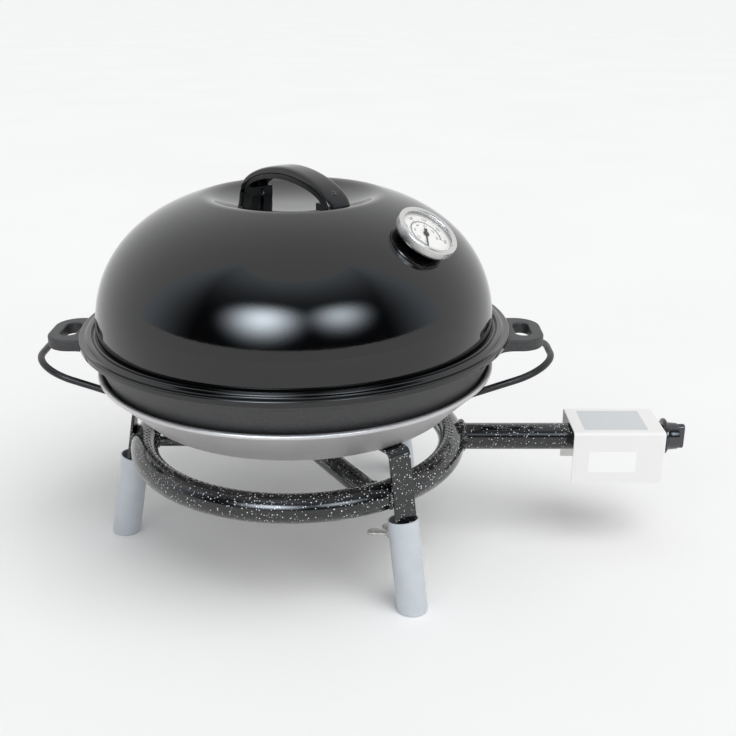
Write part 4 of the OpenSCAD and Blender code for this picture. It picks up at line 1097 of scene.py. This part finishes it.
def wallMaterial():
    # dark low in the middle, paler to the sides and the ceiling, with two soft glows
    paint = bareMaterial("wallPaint")
    place = node(paint, "TexCoord").outputs["Object"]
    parts = node(paint, "SeparateXYZ")
    link(paint, place, parts.inputs["Vector"])
    soft = "SMOOTHSTEP"
    heights, levels = (room["shade"], room["high"]), (room["dark"], room["bright"])
    up = spreadValue(paint, parts.outputs["Z"], *heights, *levels, soft)
    aside = spreadValue(paint, parts.outputs["Y"], room["sideY"], 0, 0, 1, soft)
    palest = node(paint, "Math", operation="MAXIMUM")
    link(paint, up, palest.inputs[0])
    link(paint, aside, palest.inputs[1])
    level = palest.outputs["Value"]
    for spot, size, power in room["glows"]:
        away = node(paint, "VectorMath", operation="DISTANCE")
        away.inputs[1].default_value = spot
        link(paint, place, away.inputs[0])
        fall = node(paint, "Math", operation="POWER")
        fall.inputs[1].default_value = room["fall"]
        link(paint, spreadValue(paint, away.outputs["Value"], 0, size, 1, 0, soft), fall.inputs[0])
        added = node(paint, "Math", operation="MULTIPLY_ADD")
        added.inputs[1].default_value = power
        link(paint, fall.outputs["Value"], added.inputs[0])
        link(paint, level, added.inputs[2])
        level = added.outputs["Value"]
    glow = node(paint, "Emission", Color=room["colour"])
    link(paint, level, glow.inputs["Strength"])
    link(paint, glow.outputs["Emission"], node(paint, "OutputMaterial").inputs["Surface"])
    return paint


paper = newMaterial("paper", "fafafa", 1.0, specular=0.0)
varyColour(paper, "f9f9f9", "fbfbfb", 2)
floorCorners = [(x * floorHalf, y * floorHalf, 0) for x, y in [(-1, -1), (1, -1), (1, 1), (-1, 1)]]
floor = stageObject("floor", floorCorners, [[0, 1, 2, 3]], paper)
wallLine = arcPoints(0, 0, room["r"], 180, 360, room["sides"])
wallVerts = [(x, y, z) for x, y in wallLine for z in (room["low"], room["high"])]
wallFaces = [[2 * k, 2 * k + 2, 2 * k + 3, 2 * k + 1] for k in range(room["sides"])]
wall = stageObject("roomWall", wallVerts, wallFaces, wallMaterial())
wall.visible_camera = False
wall.visible_diffuse = False
wall.visible_shadow = False
wall.visible_transmission = False

# the world lights softly, and is as pale as the floor where it is seen or mirrored
world = bpy.context.scene.world or bpy.data.worlds.new("World")
bpy.context.scene.world = world
world.use_nodes = True
world.node_tree.nodes.clear()
rays = node(world, "LightPath")
seen = rays.outputs["Is Camera Ray"]
for kind in ("Is Glossy Ray", "Is Transmission Ray"):
    either = node(world, "Math", operation="MAXIMUM")
    link(world, seen, either.inputs[0])
    link(world, rays.outputs[kind], either.inputs[1])
    seen = either.outputs["Value"]
ambient = node(world, "Background", Color=(0.99, 1.0, 1.0, 1), Strength=0.55)
white = node(world, "Background", Color=(0.92, 0.925, 0.925, 1), Strength=1.0)
worldMix = node(world, "MixShader")
link(world, seen, worldMix.inputs["Fac"])
link(world, ambient.outputs["Background"], worldMix.inputs[1])
link(world, white.outputs["Background"], worldMix.inputs[2])
link(world, worldMix.outputs["Shader"], node(world, "OutputWorld").inputs["Surface"])


def aim(obj, spot):
    obj.rotation_mode = "QUATERNION"
    obj.rotation_quaternion = (Vector(spot) - obj.location).to_track_quat("-Z", "Y")


def addLamp(name, kind, place, spot, power, colour=(1.0, 1.0, 1.0)):
    lamp = bpy.data.lights.new(name, kind)
    lamp.energy = power
    lamp.color = colour
    obj = addObject(name, lamp)
    obj.location = place
    obj.visible_glossy = False
    aim(obj, spot)
    return lamp


keyBox = addLamp("keyBox", "AREA", (-4.8, -7.6, 6.0), (-0.07, 0, 0.2), 40, (1.0, 1.0, 0.99))
keyBox.size = 3.6
sideBox = addLamp("sideBox", "AREA", (6.8, -6.8, 4.8), (0.07, 0, 0.2), 56, (0.99, 1.0, 1.0))
sideBox.size = 3.2
dayLight = addLamp("dayLight", "SUN", (0.8, -0.9, 1.9), (0, 0, 0), 1.5)
dayLight.angle = math.radians(50)

view = {"lens": 51.0, "sensor": 36.0, "distance": 1.08, "elevation": 20.7, "spot": (0.0, 0.0, 0.19)}
camera = bpy.data.cameras.new("camera")
camera.lens = view["lens"]
camera.sensor_width = view["sensor"]
eye = addObject("camera", camera)
rise = math.radians(view["elevation"])
eye.location = Vector(view["spot"]) + Vector((0, -math.cos(rise), math.sin(rise))) * view["distance"]
aim(eye, view["spot"])
bpy.context.scene.camera = eye
bpy.context.scene.view_settings.view_transform = "Standard"
print("stage set")
